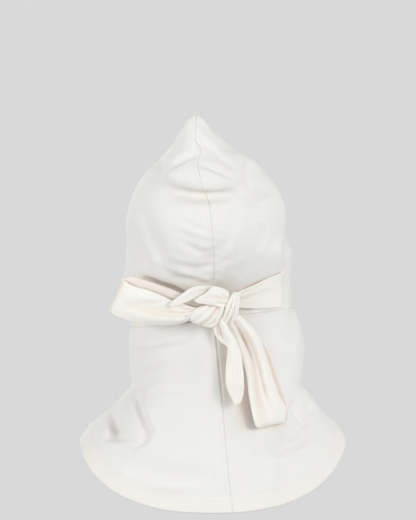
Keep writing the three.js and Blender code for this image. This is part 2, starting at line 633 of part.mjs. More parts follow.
function yokePanel(side) {
  const chin = -FACE_CENTRE_DROP - FACE_HEIGHT / 2;
  const jaw = jawAngle(side);
  const rows = [];
  for (let r = 0; r < ROWS_BESIDE_CHIN; r += 1) {
    const share = r / ROWS_BESIDE_CHIN;
    const inset = chordInset((Math.PI - jaw) / ROWS_BESIDE_CHIN);
    const edge = faceEdge(side, lerp(jaw, Math.PI, share), inset);
    const line = (turn) => lerp(neckSeamLevel(turn) - SEAM_GAP / 2, chin, share);
    if (r === 0) edge.level = line(edge.turn);
    rows.push(bentRow(side, YOKE_COLUMNS, line(0), edge, line));
  }
  for (let r = 0; r <= ROWS_UNDER_CHIN; r += 1) {
    const share = r / ROWS_UNDER_CHIN;
    const line = (turn) => lerp(chin, hemTop(turn) + 2 * SEAM_GAP, share);
    const start = backTurn(side, line(0));
    const end = frontTurn(side, line(Math.PI));
    rows.push((c) => {
      const turn = lerp(start, end, c / YOKE_COLUMNS);
      return { turn, level: line(turn) };
    });
  }
  return panelWall(rows, YOKE_COLUMNS);
}

// The hem's columns line up with those of the panels above it
function hemBand() {
  const hem = -NECK_DROP - YOKE_DROP_BACK;
  const seam = (backTurn(1, hem) + backTurn(-1, hem)) / 2;
  const turnAt = (c) =>
    c <= YOKE_COLUMNS
      ? lerp(seam, Math.PI, c / YOKE_COLUMNS)
      : lerp(-Math.PI, seam, c / YOKE_COLUMNS - 1);
  const face = (depth) => (r, c) => {
    const turn = turnAt(c);
    return offSurface(turn, lerp(hemTop(turn), hem, r / HEM_ROWS), depth);
  };
  return wall(HEM_ROWS, 2 * YOKE_COLUMNS, face(0), face(-HEM_CLOTH), true);
}

// The binding's section runs round the cloth edge of the opening
const BINDING_SECTION = [
  { inset: 0.0, height: -0.2 },
  { inset: 0.2, height: 0.3 },
  { inset: 0.8, height: 0.3 },
  { inset: 1.0, height: -0.2 },
  { inset: 0.8, height: -0.7 },
  { inset: 0.2, height: -0.7 },
];
function faceBinding() {
  const point = (angle, row) => {
    const side = Math.sin(angle) >= 0 ? 1 : -1;
    const inset = SEAM_GAP + row.inset * BINDING_WIDTH;
    const edge = faceEdge(side, side > 0 ? angle : 2 * Math.PI - angle, inset);
    return offSurface(edge.turn, edge.level, row.height * BINDING_THICKNESS);
  };
  const sides = BINDING_SECTION.length;
  const points = [];
  const triangles = [];
  for (let s = 0; s < BINDING_STEPS; s += 1) {
    const angle = (s / BINDING_STEPS) * 2 * Math.PI;
    for (let i = 0; i < sides; i += 1) {
      points.push(point(angle, BINDING_SECTION[i]));
      const next = (s + 1) % BINDING_STEPS;
      const a = s * sides + i;
      const b = s * sides + ((i + 1) % sides);
      const c = next * sides + ((i + 1) % sides);
      const d = next * sides + i;
      triangles.push([a, b, c], [a, c, d]);
    }
  }
  return makeBody(points, triangles);
}

// A ribbon of cloth round rows of middle points, each row running from edge to edge.
// grow makes it stand out on every side, for cutting its neighbours clear.
function ribbon(middles, grow) {
  const last = RIBBON_SPANS;
  const sections = middles.map((row, i) => {
    const before = middles[Math.max(i - 1, 0)];
    const after = middles[Math.min(i + 1, middles.length - 1)];
    const forward = after[0].clone().add(after[last]).sub(before[0]).sub(before[last]);
    const across = row[last].clone().sub(row[0]).normalize();
    const along = forward.normalize();
    const normal = along.clone().cross(across).normalize();
    const half = TIE_CLOTH / 2 + grow;
    const end = i === 0 ? -grow : i === middles.length - 1 ? grow : 0;
    const face = (facing) =>
      row.map((point, k) =>
        point
          .clone()
          .addScaledVector(normal, facing * half)
          .addScaledVector(across, ((2 * k) / last - 1) * grow)
          .addScaledVector(along, end),
      );
    return [...face(1), ...face(-1).reverse()];
  });
  return loft(sections, true);
}

// Shares across a ribbon, from edge to edge
function acrossRibbon(point) {
  return Array.from({ length: RIBBON_SPANS + 1 }, (_, k) => point(k / RIBBON_SPANS));
}

function tableSteps(rows) {
  const numbered = rows.map((row, step) => ({ ...row, step }));
  const steps = [];
  for (let s = 0; s <= (rows.length - 1) * STEPS_PER_ROW; s += 1) {
    steps.push(readTable(numbered, 'step', s / STEPS_PER_ROW));
  }
  return steps;
}

// A tie that lies on the hood from the knot to its stitched end
function tieBand(rows, side, anchorTurn, grow) {
  const middles = tableSteps(rows).map((row) => {
    const height = row.lift * BOW_DEPTH + TIE_CLEARANCE + TIE_CLOTH / 2;
    return acrossRibbon((share) => {
      const turn = side * (row.along + row.skew * (1 - share)) * anchorTurn * DEGREE;
      return offSurface(turn, -KNOT_DROP + lerp(row.high, row.low, share) * TIE_WIDTH, height);
    });
  });
  return ribbon(middles, grow);
}

const knotFace = backFace(KNOT_OFFSET, -KNOT_DROP, surface);

// A free ribbon of the bow. Sideways ones run to the wearer's left at the knot's own distance,
// and hanging ones follow the slope of the hood. None goes into the cloth behind it.
function bowRibbon(rows, reach, hangs, grow) {
  const middles = tableSteps(rows).map((row) =>
    acrossRibbon((share) => {
      const run = row.run + row.skew * (0.5 - share);
      const beside = lerp(row.one, row.two, share);
      const out = row.out + row.lean * (0.5 - share) + row.belly * 4 * share * (1 - share);
      const x = KNOT_OFFSET + (hangs ? beside * TIE_WIDTH : run * reach);
      const z = -KNOT_DROP + (hangs ? -run * reach : beside * TIE_WIDTH);
      const rest = hangs ? backFace(x, z, plainSurface) : knotFace;
      const cloth = backFace(x, z, surface);
      const least = cloth === null ? -Infinity : cloth + TIE_CLEARANCE + TIE_CLOTH;
      return new THREE.Vector3(x, Math.max(rest + out * BOW_DEPTH, least), z);
    }),
  );
  return ribbon(middles, grow);
}

// A rolled length of cloth through the knot
function knotRoll(rows, grow) {
  const steps = tableSteps(rows);
  const middles = steps.map((row) => {
    const x = KNOT_OFFSET + row.x * KNOT_LENGTH;
    const z = -KNOT_DROP + row.z * KNOT_LENGTH;
    const least = backFace(x, z, surface) + (row.deep / 2) * BOW_DEPTH + TIE_CLEARANCE;
    return new THREE.Vector3(x, Math.max(knotFace + row.out * BOW_DEPTH, least), z);
  });
  const sections = steps.map((row, i) => {
    const forward = middles[Math.min(i + 1, steps.length - 1)]
      .clone()
      .sub(middles[Math.max(i - 1, 0)])
      .normalize();
    const across = new THREE.Vector3(0, 1, 0).cross(forward).normalize();
    const out = forward.clone().cross(across);
    const end = i === 0 ? -grow : i === steps.length - 1 ? grow : 0;
    const middle = middles[i].clone().addScaledVector(forward, end);
    const section = [];
    for (let k = 0; k < ROLL_SIDES; k += 1) {
      const angle = (k / ROLL_SIDES) * 2 * Math.PI;
      const wide = ((row.wide * TIE_WIDTH) / 2 + grow) * Math.cos(angle);
      const deep = ((row.deep * BOW_DEPTH) / 2 + grow) * Math.sin(angle);
      section.push(middle.clone().addScaledVector(across, wide).addScaledVector(out, deep));
    }
    return section;
  });
  return loft(sections, false);
}

function toManifold(body) {
  return new wasm.Manifold(
    new wasm.Mesh({
      numProp: 3,
      vertProperties: Float32Array.from(body.points.flatMap((point) => point.toArray())),
      triVerts: Uint32Array.from(body.triangles.flat()),
    }),
  );
}

function toGeometry(positions, indices) {
  const geometry = new THREE.BufferGeometry();
  geometry.setAttribute('position', new THREE.Float32BufferAttribute(positions, 3));
  geometry.setIndex(Array.from(indices));
  geometry.computeVertexNormals();
  return geometry;
}

function bodyGeometry(body) {
  return toGeometry(
    body.points.flatMap((point) => point.toArray()),
    body.triangles.flat(),
  );
}

// Each piece of the bow is cut clear of the pieces before it, and its largest rest is kept
function cutInTurn(makers) {
  const cut = {};
  const grown = [];
  for (const [name, make] of Object.entries(makers)) {
    let solid = toManifold(make(0));
    for (const other of grown) solid = solid.subtract(other);
    const pieces = solid.decompose();
    pieces.sort((a, b) => b.volume() - a.volume());
    const mesh = pieces[0].getMesh();
    cut[name] = toGeometry(mesh.vertProperties, mesh.triVerts);
    grown.push(toManifold(make(SEAM_GAP)));
  }
  return cut;
}

const JERSEY_COLOUR = '#eeede9';
const HEM_COLOUR = '#f1efea';
const TIE_COLOUR = '#f5f0e8';
const CLOTH_ROUGHNESS = 0.9;

function clothPiece(name, geometry, colour) {
  const material = new THREE.MeshStandardMaterial({
    color: colour,
    roughness: CLOTH_ROUGHNESS,
    metalness: 0,
  });
  material.name = name;
  const piece = new THREE.Mesh(geometry, material);
  piece.name = name;
  return piece;
}

const LEFT = 1;
const RIGHT = -1;

function hoodPieces() {
  const pieces = new THREE.Group();
  pieces.add(
    clothPiece('crown_panel_left', bodyGeometry(crownPanel(LEFT)), JERSEY_COLOUR),
    clothPiece('crown_panel_right', bodyGeometry(crownPanel(RIGHT)), JERSEY_COLOUR),
    clothPiece('yoke_panel_left', bodyGeometry(yokePanel(LEFT)), JERSEY_COLOUR),
    clothPiece('yoke_panel_right', bodyGeometry(yokePanel(RIGHT)), JERSEY_COLOUR),
    clothPiece('face_binding', bodyGeometry(faceBinding()), HEM_COLOUR),
    clothPiece('hem_band', bodyGeometry(hemBand()), HEM_COLOUR),
  );
  return pieces;
}

function bowPieces() {
  const cut = cutInTurn({
    knot_wrap: (grow) => knotRoll(KNOT_WRAP, grow),
    bow_knot: (grow) => knotRoll(KNOT_ROLL, grow),
    tie_tail_short: (grow) => bowRibbon(TAIL_SHORT, FLAP_REACH, false, grow),
    tie_tail_long: (grow) => bowRibbon(TAIL_LONG, TAIL_DROP, true, grow),
    bow_loop_left: (grow) => bowRibbon(LOOP_LEFT, LOOP_REACH_LEFT, false, grow),
    bow_loop_right: (grow) => bowRibbon(LOOP_RIGHT, LOOP_DROP_RIGHT, true, grow),
    tie_band_left: (grow) => tieBand(BAND_LEFT, LEFT, ANCHOR_TURN_LEFT, grow),
    tie_band_right: (grow) => tieBand(BAND_RIGHT, RIGHT, ANCHOR_TURN_RIGHT, grow),
  });
  const pieces = new THREE.Group();
  for (const [name, geometry] of Object.entries(cut)) {
    pieces.add(clothPiece(name, geometry, TIE_COLOUR));
  }
  return pieces;
}

const cap = new THREE.Group();
cap.add(hoodPieces(), bowPieces());

export default cap;
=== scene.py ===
# Hijab underscarf cap: a pointed jersey hood with a yoke over the shoulders, and two ties in a
# bow at the nape. The wearer faces -Y and the wearer's left is +X. Lengths in the tables are in
# millimetres from the seat, where the top of the head meets the crown, and a turn is an angle
# round the hood, 0 at the back and growing to the wearer's left.
import functools
import math

import bpy
import numpy as np
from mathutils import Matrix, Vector


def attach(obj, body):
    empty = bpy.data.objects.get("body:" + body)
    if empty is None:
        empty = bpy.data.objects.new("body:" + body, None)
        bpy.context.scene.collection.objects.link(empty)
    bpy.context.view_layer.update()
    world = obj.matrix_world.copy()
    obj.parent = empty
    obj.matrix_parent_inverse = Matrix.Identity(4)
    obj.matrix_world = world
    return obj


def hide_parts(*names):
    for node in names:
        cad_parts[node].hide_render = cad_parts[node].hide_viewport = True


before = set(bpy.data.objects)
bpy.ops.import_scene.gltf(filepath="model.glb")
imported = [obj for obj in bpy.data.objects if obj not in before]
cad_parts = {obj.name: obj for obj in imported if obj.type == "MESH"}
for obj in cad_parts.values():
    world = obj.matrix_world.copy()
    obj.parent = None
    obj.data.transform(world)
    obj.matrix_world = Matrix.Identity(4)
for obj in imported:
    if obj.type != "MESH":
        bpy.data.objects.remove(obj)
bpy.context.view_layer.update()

bl_info = {
    "name": "Underscarf Cap",
    "version": (1, 0, 0),
    "blender": (4, 5, 0),
    "location": "3D View > Sidebar > Cap",
    "description": "Builds a jersey underscarf cap with a bow at the nape",
    "category": "Add Mesh",
}

MM = 0.001

# The wearer's two sides, as signs of X
SIDES = {"left": 1, "right": -1}

# Hood sizes
HEAD_BREADTH = 169
HEAD_DEPTH = 200
PEAK_RISE = 36
NECK_DROP = 245
YOKE_REACH = {"left": 136.5, "right": 141.8, "back": 125, "front": 118}
YOKE_DROP_BACK = 133
YOKE_DROP_FRONT = 120
SHOULDER_DROP = 58
RIDGE_ROUNDING = 0.3
HEM_DEPTH = 18
NECK_SEAM_DROP = 176.5
NECK_SEAM_TILT = 0.125
FACE_WIDTH = 122
FACE_HEIGHT = 160
FACE_CENTRE_DROP = 141
BINDING_WIDTH = 7
BINDING_THICKNESS = 2.2
SEAM_GAP = 0.3
JOIN_GAP = 0.06
HALF_BREADTH = HEAD_BREADTH / 2
HALF_DEPTH = HEAD_DEPTH / 2
HEM_LEVEL = -NECK_DROP - YOKE_DROP_BACK

# Ties and bow. The anchors are the turns of the ties' stitched ends by side, in degrees.
TIE_WIDTH = 38
TIE_CLEARANCE = 1.3
ANCHOR_TURN = {1: 80, -1: 54}
KNOT_DROP = 169
KNOT_OFFSET = -4.2

# Largest depth and usual half width of a fold
FOLD_DEPTH = 6
FOLD_WIDTH = 10

# Roundness of the hood's level sections, 2 for an ellipse and more for a squarer one
HEAD_POWER = 2.2
HEM_POWER = 2.4

# How evenly the yoke spreads over the shoulders, from 0, as it does at the back, to 1
SHOULDER_EVENNESS = 0.6

# The sides that folds are seen from, and how quickly a fold fades where its side turns away
BACK, LEFT_SIDE, RIGHT_SIDE, FRONT = 0, 1, 2, 3
FACE_TURNS = {BACK: 0.0, LEFT_SIDE: math.pi / 2, RIGHT_SIDE: -math.pi / 2, FRONT: math.pi}
FACE_FADE = 2.5

# Kinds of fold: a soft swell or dent, a crease with a small lip on both sides, and a swell
# that hangs over its lower side
SOFT, CREASE, OVERHANG = 0, 1, 2


def table(columns, *rows):
    """Rows of numbers as one array for each named column."""
    return dict(zip(columns.split(), np.array(rows, float).T))


# Level sections of the hood. drop: share of the peak's rise above the seat, below 0, or of the
# neck's drop under it. left and right: share of half the breadth. back and front: share of
# half the depth.
RINGS = table(
    "drop left right back front",
    (-1.0, 0.198, -0.15, 0.4, -0.36),
    (-0.875, 0.273, -0.075, 0.45, -0.29),
    (-0.64, 0.336, 0.0, 0.52, -0.13),
    (-0.29, 0.436, 0.162, 0.6, 0.12),
    (-0.055, 0.509, 0.272, 0.65, 0.33),
    (0.024, 0.585, 0.447, 0.69, 0.48),
    (0.06, 0.696, 0.585, 0.74, 0.6),
    (0.094, 0.795, 0.684, 0.79, 0.69),
    (0.129, 0.87, 0.77, 0.81, 0.76),
    (0.171, 0.941, 0.846, 0.82, 0.83),
    (0.249, 1.019, 0.933, 0.9, 0.92),
    (0.317, 1.044, 0.957, 0.97, 0.98),
    (0.386, 1.034, 0.969, 0.98, 1.02),
    (0.453, 1.044, 1.019, 0.93, 1.04),
    (0.522, 1.082, 1.019, 0.84, 1.05),
    (0.592, 1.065, 1.024, 0.73, 1.04),
    (0.665, 1.018, 1.047, 0.68, 1.02),
    (0.735, 0.976, 1.112, 0.68, 1.0),
    (0.831, 1.006, 1.181, 0.72, 0.96),
    (0.906, 1.0, 1.178, 0.76, 0.9),
    (1.0, 0.994, 1.16, 0.84, 0.84),
)

# Route of the centre-back seam. drop: as above, and past 1 a share of the yoke's drop.
# x: share of half the breadth, to the wearer's left.
SEAM = table(
    "drop x",
    (-1.0, 0.168),
    (-0.27, 0.181),
    (-0.03, 0.121),
    (0.062, 0.149),
    (0.171, 0.077),
    (0.219, 0.017),
    (0.345, -0.027),
    (0.516, -0.05),
    (0.573, -0.036),
    (0.807, -0.08),
    (1.088, -0.148),
    (1.51, -0.198),
    (2.0, -0.273),
)

# Main folds and dents. face: the side that a row's two directions are seen from. a: across, a
# share of half the breadth, or of half the depth on a side face. d: down, as in the seam's
# table. The middle pair is a curve's control point. width and depth: shares of the fold sizes,
# and a depth below 0 is a dent.
FOLDS = table(
    "face a0 d0 a1 d1 a2 d2 width depth",
    (BACK, 0.5, 0.13, 0.1, 0.03, -0.34, 0.15, 1.1, 1.0),
    (BACK, 0.42, 0.17, 0.09, 0.215, -0.28, 0.18, 0.9, -0.9),
    (BACK, -0.447, 0.06, -0.62, 0.11, -0.72, 0.2, 0.9, -0.8),
    (BACK, 0.52, 0.04, 0.63, 0.09, 0.74, 0.18, 0.8, -0.5),
    (BACK, 0.174, -0.3, -0.15, 0.05, -0.5, 0.2, 0.7, -0.5),
    (BACK, -0.95, 0.5, -0.037, 0.75, 0.9, 0.55, 1.6, -1.1),
    (BACK, 0.98, 0.84, 0.55, 0.81, 0.12, 0.76, 0.9, -0.5),
    (BACK, 0.81, 0.25, 0.67, 0.42, 0.4, 0.57, 0.8, -0.45),
    (BACK, 0.4, 0.33, 0.2, 0.44, -0.02, 0.5, 0.7, -0.4),
    (BACK, -0.66, 0.32, -0.57, 0.44, -0.37, 0.55, 0.8, -0.45),
    (BACK, 0.94, 1.0, 0.86, 1.22, 0.78, 1.48, 0.8, -0.5),
    (BACK, 1.24, 1.45, 1.07, 1.47, 0.9, 1.5, 0.8, -0.4),
    (BACK, -1.15, 1.0, -1.06, 1.2, -1.2, 1.38, 0.8, -0.5),
    (BACK, -1.22, 1.38, -1.14, 1.52, -0.7, 1.53, 0.9, -0.4),
    (BACK, 1.0, 1.62, 0.44, 1.74, -0.06, 1.7, 1.4, -0.6),
    (LEFT_SIDE, -0.78, 0.3, -0.3, 0.44, 0.08, 0.52, 1.0, -0.5),
    (LEFT_SIDE, -0.72, 0.84, -0.3, 0.7, 0.08, 0.62, 1.0, -0.5),
    (LEFT_SIDE, -0.6, 0.98, -0.1, 1.08, 0.45, 1.0, 1.0, -0.5),
    (RIGHT_SIDE, -0.78, 0.3, -0.3, 0.44, 0.08, 0.52, 1.0, -0.5),
    (RIGHT_SIDE, -0.72, 0.84, -0.3, 0.7, 0.08, 0.62, 1.0, -0.5),
    (RIGHT_SIDE, -0.6, 0.98, -0.1, 1.08, 0.45, 1.0, 1.0, -0.5),
    (FRONT, -0.62, 0.95, 0.0, 1.09, 0.62, 0.95, 1.0, -0.6),
    (FRONT, 0.3, 1.0, 0.42, 1.35, 0.5, 1.8, 1.4, -0.7),
    (FRONT, -0.3, 1.0, -0.44, 1.35, -0.54, 1.8, 1.4, -0.7),
)

# Fine wrinkles, in millimetres: across and down at the two ends and at a curve's control point
# between them, half width, height and kind of fold.
WRINKLES = table(
    "face a0 d0 a1 d1 a2 d2 width depth kind",
    # The slack under the peak: its two top creases, its swell and its lower rim
    (BACK, 12.6, 4.5, 30.0, 8.5, 46.0, 25.0, 2.8, -2.6, CREASE),
    (BACK, 11.6, 14.7, -14.0, 21.0, -31.0, 41.0, 2.8, -3.0, CREASE),
    (BACK, 54.0, 24.0, 8.0, 47.0, -38.0, 32.0, 9.0, 9.0, OVERHANG),
    (BACK, 52.0, 37.0, 8.0, 57.0, -36.0, 43.0, 7.0, -2.4, SOFT),
    # Creases and hollows from the tip
    (BACK, 14.9, -9.7, -4.0, -4.0, -22.0, 20.0, 2.8, -1.5, CREASE),
    (BACK, 15.0, -30.0, 2.0, -22.0, -10.0, -4.0, 2.6, -1.1, CREASE),
    (BACK, -42.0, 0.0, -50.0, 28.0, -44.0, 62.0, 12.0, -7.5, SOFT),
    (BACK, 45.0, 6.0, 52.0, 18.0, 56.0, 36.0, 7.0, -3.4, SOFT),
    (BACK, 26.0, -18.0, 30.0, -6.0, 40.0, 6.0, 5.0, -1.2, SOFT),
    # Gathers where the centre-back seam is drawn up
    (BACK, 1.0, 85.0, 16.0, 82.0, 33.0, 74.0, 2.8, -1.5, CREASE),
    (BACK, 0.0, 96.0, 14.0, 96.0, 30.0, 86.0, 2.6, -1.0, CREASE),
    (BACK, -2.0, 109.0, 16.0, 107.0, 34.0, 94.0, 2.8, -1.4, CREASE),
    (BACK, -3.0, 123.0, 18.0, 126.0, 46.0, 117.0, 3.0, -1.9, CREASE),
    (BACK, -2.0, 131.0, 14.0, 130.0, 32.0, 123.0, 2.4, -1.0, CREASE),
    (BACK, -1.0, 140.0, 18.0, 139.0, 36.0, 132.0, 2.6, -1.4, CREASE),
    (BACK, -6.0, 120.0, -18.0, 118.0, -30.0, 108.0, 2.8, -0.8, CREASE),
    (BACK, -5.0, 104.0, -15.0, 101.0, -25.0, 92.0, 2.8, -0.7, CREASE),
    # Long pulls down to the ties
    (BACK, 70.0, 60.0, 62.0, 108.0, 36.0, 139.0, 3.8, -1.2, CREASE),
    (BACK, 82.0, 78.0, 74.0, 112.0, 52.0, 132.0, 3.4, -1.2, CREASE),
    (BACK, 58.0, 84.0, 50.0, 118.0, 24.0, 140.0, 3.6, -0.9, CREASE),
    (BACK, -56.0, 76.0, -54.0, 112.0, -30.0, 133.0, 3.6, -1.1, CREASE),
    (BACK, -32.0, 88.0, -30.0, 118.0, -17.0, 141.0, 3.4, -1.2, CREASE),
    (BACK, -70.0, 84.0, -66.0, 104.0, -50.0, 126.0, 3.4, -1.0, CREASE),
    (BACK, -79.0, 76.0, -81.0, 120.0, -79.0, 168.0, 4.0, -1.4, CREASE),
    (BACK, 58.0, 118.0, 44.0, 132.0, 24.0, 141.0, 5.0, -2.6, SOFT),
    (BACK, 70.0, 133.0, 50.0, 142.5, 22.0, 152.5, 2.0, -7.0, SOFT),
    # Creases under the left loop and across the neck
    (BACK, 84.0, 205.0, 46.0, 204.0, 10.0, 186.0, 3.2, -2.0, CREASE),
    (BACK, 78.0, 233.0, 58.0, 222.0, 38.0, 217.0, 3.6, -1.3, CREASE),
    (BACK, 66.0, 259.0, 48.0, 248.0, 19.0, 250.0, 3.6, -1.4, CREASE),
    (BACK, 14.0, 262.0, 6.0, 248.0, 5.0, 228.0, 5.0, -1.0, SOFT),
    (BACK, -42.0, 180.0, -66.0, 178.0, -94.0, 172.0, 3.2, -1.1, CREASE),
    (BACK, -52.0, 190.0, -70.0, 200.0, -92.0, 204.0, 4.2, -0.8, CREASE),
    (BACK, 30.0, 182.0, 24.0, 222.0, 26.0, 270.0, 14.0, -6.5, SOFT),
    # The neck's drape onto the yoke
    (BACK, 78.0, 256.0, 74.0, 276.0, 66.0, 296.0, 3.6, -4.4, CREASE),
    (BACK, 64.0, 288.0, 65.0, 305.0, 82.0, 310.0, 3.8, -4.6, CREASE),
    (BACK, 104.0, 270.0, 103.0, 290.0, 96.0, 306.0, 5.0, -9.0, SOFT),
    (BACK, 94.0, 258.0, 103.0, 280.0, 106.0, 304.0, 3.0, -3.6, CREASE),
    (BACK, 112.0, 302.0, 96.0, 298.0, 76.0, 308.0, 3.4, -3.2, CREASE),
    (BACK, -84.0, 264.0, -92.0, 276.0, -101.0, 290.0, 4.0, -4.4, CREASE),
    (BACK, -102.0, 296.0, -92.0, 312.0, -64.0, 316.0, 4.6, -4.2, CREASE),
    (BACK, -100.0, 264.0, -106.0, 270.0, -108.0, 280.0, 5.0, -3.0, SOFT),
    (BACK, 92.0, 334.0, 42.0, 353.0, -14.0, 344.0, 10.5, -7.5, SOFT),
)

# Painted shadow: where the hanging ends of the ties cast their shade on the hood, a darker and
# warmer tone is painted in, as lines like those above. depth: the share of that painted shade.
SHADES = table(
    "face a0 d0 a1 d1 a2 d2 width depth",
    (BACK, -12.0, 190.0, -15.0, 232.0, -17.5, 266.0, 4.5, 0.25),
    (BACK, -29.0, 226.0, -33.0, 262.0, -34.5, 296.0, 6.0, 0.75),
)

# Ties on the hood, from the knot to the stitched end. along: share of the anchor's turn.
# skew: how far the upper edge runs past the lower. high and low: edges above the knot, in tie
# widths. h0 to h4: height over the cloth, from the upper edge to the lower one.
BAND_RIGHT = table(
    "along skew high low h0 h1 h2 h3 h4",
    (0.02, 0.0, 0.36, 0.1, 12.0, 13.0, 12.0, 11.0, 9.0),
    (0.12, 0.0, 0.42, 0.08, 8.0, 9.0, 8.0, 8.0, 6.0),
    (0.24, 0.0, 0.48, 0.05, 4.2, 5.6, 3.2, 4.6, 3.0),
    (0.4, 0.0, 0.6, 0.05, 1.6, 3.4, 1.2, 2.2, 1.0),
    (0.6, 0.0, 0.76, 0.05, 0.5, 2.2, 0.6, 1.0, 0.4),
    (0.8, 0.02, 0.95, 0.07, 0.0, 0.9, 0.5, 0.3, 0.0),
    (1.0, 0.1, 1.1, 0.1, 0.0, 0.0, 0.0, 0.0, 0.0),
)
BAND_LEFT = table(
    "along skew high low h0 h1 h2 h3 h4",
    (0.02, 0.0, 0.36, 0.1, 8.0, 9.0, 9.0, 8.0, 6.0),
    (0.12, 0.0, 0.42, 0.06, 6.0, 6.0, 5.0, 5.0, 4.0),
    (0.25, 0.0, 0.52, 0.0, 5.6, 4.0, 2.2, 2.6, 1.4),
    (0.42, 0.0, 0.67, -0.05, 5.8, 3.0, 1.0, 1.0, 0.4),
    (0.6, 0.0, 0.83, -0.08, 3.0, 2.2, 0.8, 0.4, 0.0),
    (0.8, 0.0, 0.92, -0.06, 0.8, 0.9, 0.4, 0.0, 0.0),
    (0.97, 0.0, 0.92, -0.03, 0.0, 0.0, 0.0, 0.0, 0.0),
)

# Free ribbons of the bow, in millimetres. xa, za and xb, zb: the row's two edges seen from
# behind. h0 to h4: height from edge a to edge b, over the knot's place on the hood, or for a
# hanging ribbon over the hood behind it. A loop's first rows are its inner layer.
LOOP_INNER_ROWS = 7
LOOP_LEFT = table(
    "xa za xb zb h0 h1 h2 h3 h4",
    (6, -163, 5, -171, 9, 9, 9, 9, 9),
    (20, -155, 18, -174, 9, 9.5, 9, 8, 8),
    (38, -147, 36, -178, 8, 8, 7, 6, 6),
    (56, -140.5, 54, -180, 5, 5, 4, 3, 3),
    (72, -135.5, 72, -178.5, 1, 2, 1, 0, 0),
    (84, -133, 92, -174, -4, -2, -2, -3, -3),
    (90.5, -136.5, 104, -169.5, -4, -3.5, -3, -3, -2.5),
    (88.5, -137.5, 104, -170.5, 1.5, 2.5, 3, 3.5, 2.0),
    (81, -142.5, 95, -175.5, 5, 8, 8, 8.5, 6),
    (66, -146.5, 78, -181, 8.5, 11.5, 9.5, 13, 8),
    (54, -151, 60, -183.5, 11.0, 13.5, 11, 15.5, 9),
    (42, -156.5, 44, -183.8, 13.0, 14, 13, 17, 10),
    (30, -160.5, 31, -182.4, 14.0, 13, 15.5, 17.5, 10),
    (20, -164.0, 21, -178.0, 13.0, 14, 16.5, 16.5, 11),
    (9, -166.0, 9, -173.0, 12, 13, 14, 13, 12),
)
LOOP_RIGHT = table(
    "xa za xb zb h0 h1 h2 h3 h4",
    (-14, -172, -32, -172, 4, 4, 4, 4, 4),
    (-17, -181, -42, -182, 3.4, 3.4, 3.4, 3.4, 3.4),
    (-23, -195, -50.5, -195.5, 3.1, 3.1, 3.1, 3.1, 3.1),
    (-32, -212, -60.5, -212, 3.1, 3.1, 3.1, 3.1, 3.5),
    (-41, -238, -69.5, -237.5, 3.4, 3.1, 3.1, 3.1, 4.0),
    (-46.0, -256, -75.5, -254.5, 4.5, 3.6, 3.4, 3.6, 5.0),
    (-49.5, -272, -80.6, -271.5, 5.5, 4.6, 4.4, 4.6, 6.0),
    (-52.0, -288.6, -80.2, -283.0, 8.0, 7.0, 7.0, 7.0, 8.5),
    (-47.2, -287.7, -78.4, -282.4, 13.5, 14.5, 15, 14.5, 14.0),
    (-43.0, -271, -79.4, -270.5, 15.5, 18, 16.5, 18.5, 14.5),
    (-40.0, -254.5, -71.5, -255, 15.5, 18, 15.5, 18.5, 13.5),
    (-37.5, -234.5, -64.5, -235, 14, 16.5, 13.5, 17.5, 12),
    (-31, -213, -58, -213, 12, 14, 12.5, 16.5, 10.5),
    (-24, -196, -51, -196, 9.5, 11, 12, 15.5, 9.5),
    (-18, -184, -42.5, -184, 11, 12, 13, 14.5, 9),
    (-13, -173, -31.5, -172.5, 12, 13, 14, 13, 10),
)

# Lengthwise pleats: a row and a share of the width at each end, a half width as a share, a
# height and a kind of fold
LEFT_PLEATS = (
    (10.6, 0.5, 14.2, 0.36, 0.06, -2.2, CREASE),
    (11.6, 0.3, 14.2, 0.18, 0.05, -1.6, CREASE),
    (8.6, 0.44, 10.6, 0.18, 0.06, -1.3, CREASE),
    (7.6, 0.62, 12.5, 0.58, 0.13, -1.6, SOFT),
    (11.5, 0.86, 13.0, 0.8, 0.08, 1.8, SOFT),
    (9.4, 0.7, 13.6, 0.66, 0.05, -1.2, CREASE),
    (0.5, 0.5, 6.0, 0.4, 0.07, -1.6, CREASE),
    (3.0, 0.3, 5.6, 0.7, 0.08, 1.2, SOFT),
)
RIGHT_PLEATS = (
    (9.0, 0.24, 15.0, 0.44, 0.08, -1.8, CREASE),
    (7.8, 0.26, 14.6, 0.34, 0.15, -2.2, SOFT),
    (9.6, 0.55, 14.6, 0.6, 0.1, -1.6, SOFT),
    (8.6, 0.82, 15.2, 0.78, 0.06, 1.4, SOFT),
    (11.0, 0.4, 14.8, 0.3, 0.05, -1.2, CREASE),
    (8.5, 0.62, 11.5, 0.5, 0.06, -1.0, CREASE),
)
TAIL_LONG = table(
    "xa za xb zb h0 h1 h2 h3 h4",
    (-3.5, -173, -15.5, -172, 10, 13, 15, 15, 14),
    (-3.0, -180, -16.5, -179, 10, 12, 16, 18.5, 16),
    (-3.6, -187, -19.5, -186.5, 9, 11, 13.5, 20, 17),
    (-5.6, -194.5, -23.0, -192.5, 9.5, 11, 13, 20.5, 17.5),
    (-11.5, -201, -27.0, -199.5, 13, 15.5, 17.5, 20.5, 16.5),
    (-18.0, -206.5, -29.8, -206.5, 16.5, 19.5, 20.5, 20, 16),
    (-18.0, -214, -32.4, -214.5, 17, 20.5, 21.5, 20, 16),
    (-16.9, -226, -34.2, -226, 17, 20.2, 21.3, 19.5, 16),
    (-16.2, -238, -35.2, -239, 16.5, 19.8, 20.8, 19, 15.8),
    (-16.9, -247, -35.6, -248, 16.5, 19.2, 20.2, 18.5, 15.6),
    (-20.0, -255.5, -34.6, -256, 16.5, 18.5, 19.0, 17.8, 15.4),
    (-23.6, -262, -33.0, -261.5, 16.5, 17.8, 18.0, 17.2, 15.4),
    (-26.2, -266.4, -31.6, -264.2, 16.5, 17.2, 17.2, 16.8, 15.4),
)
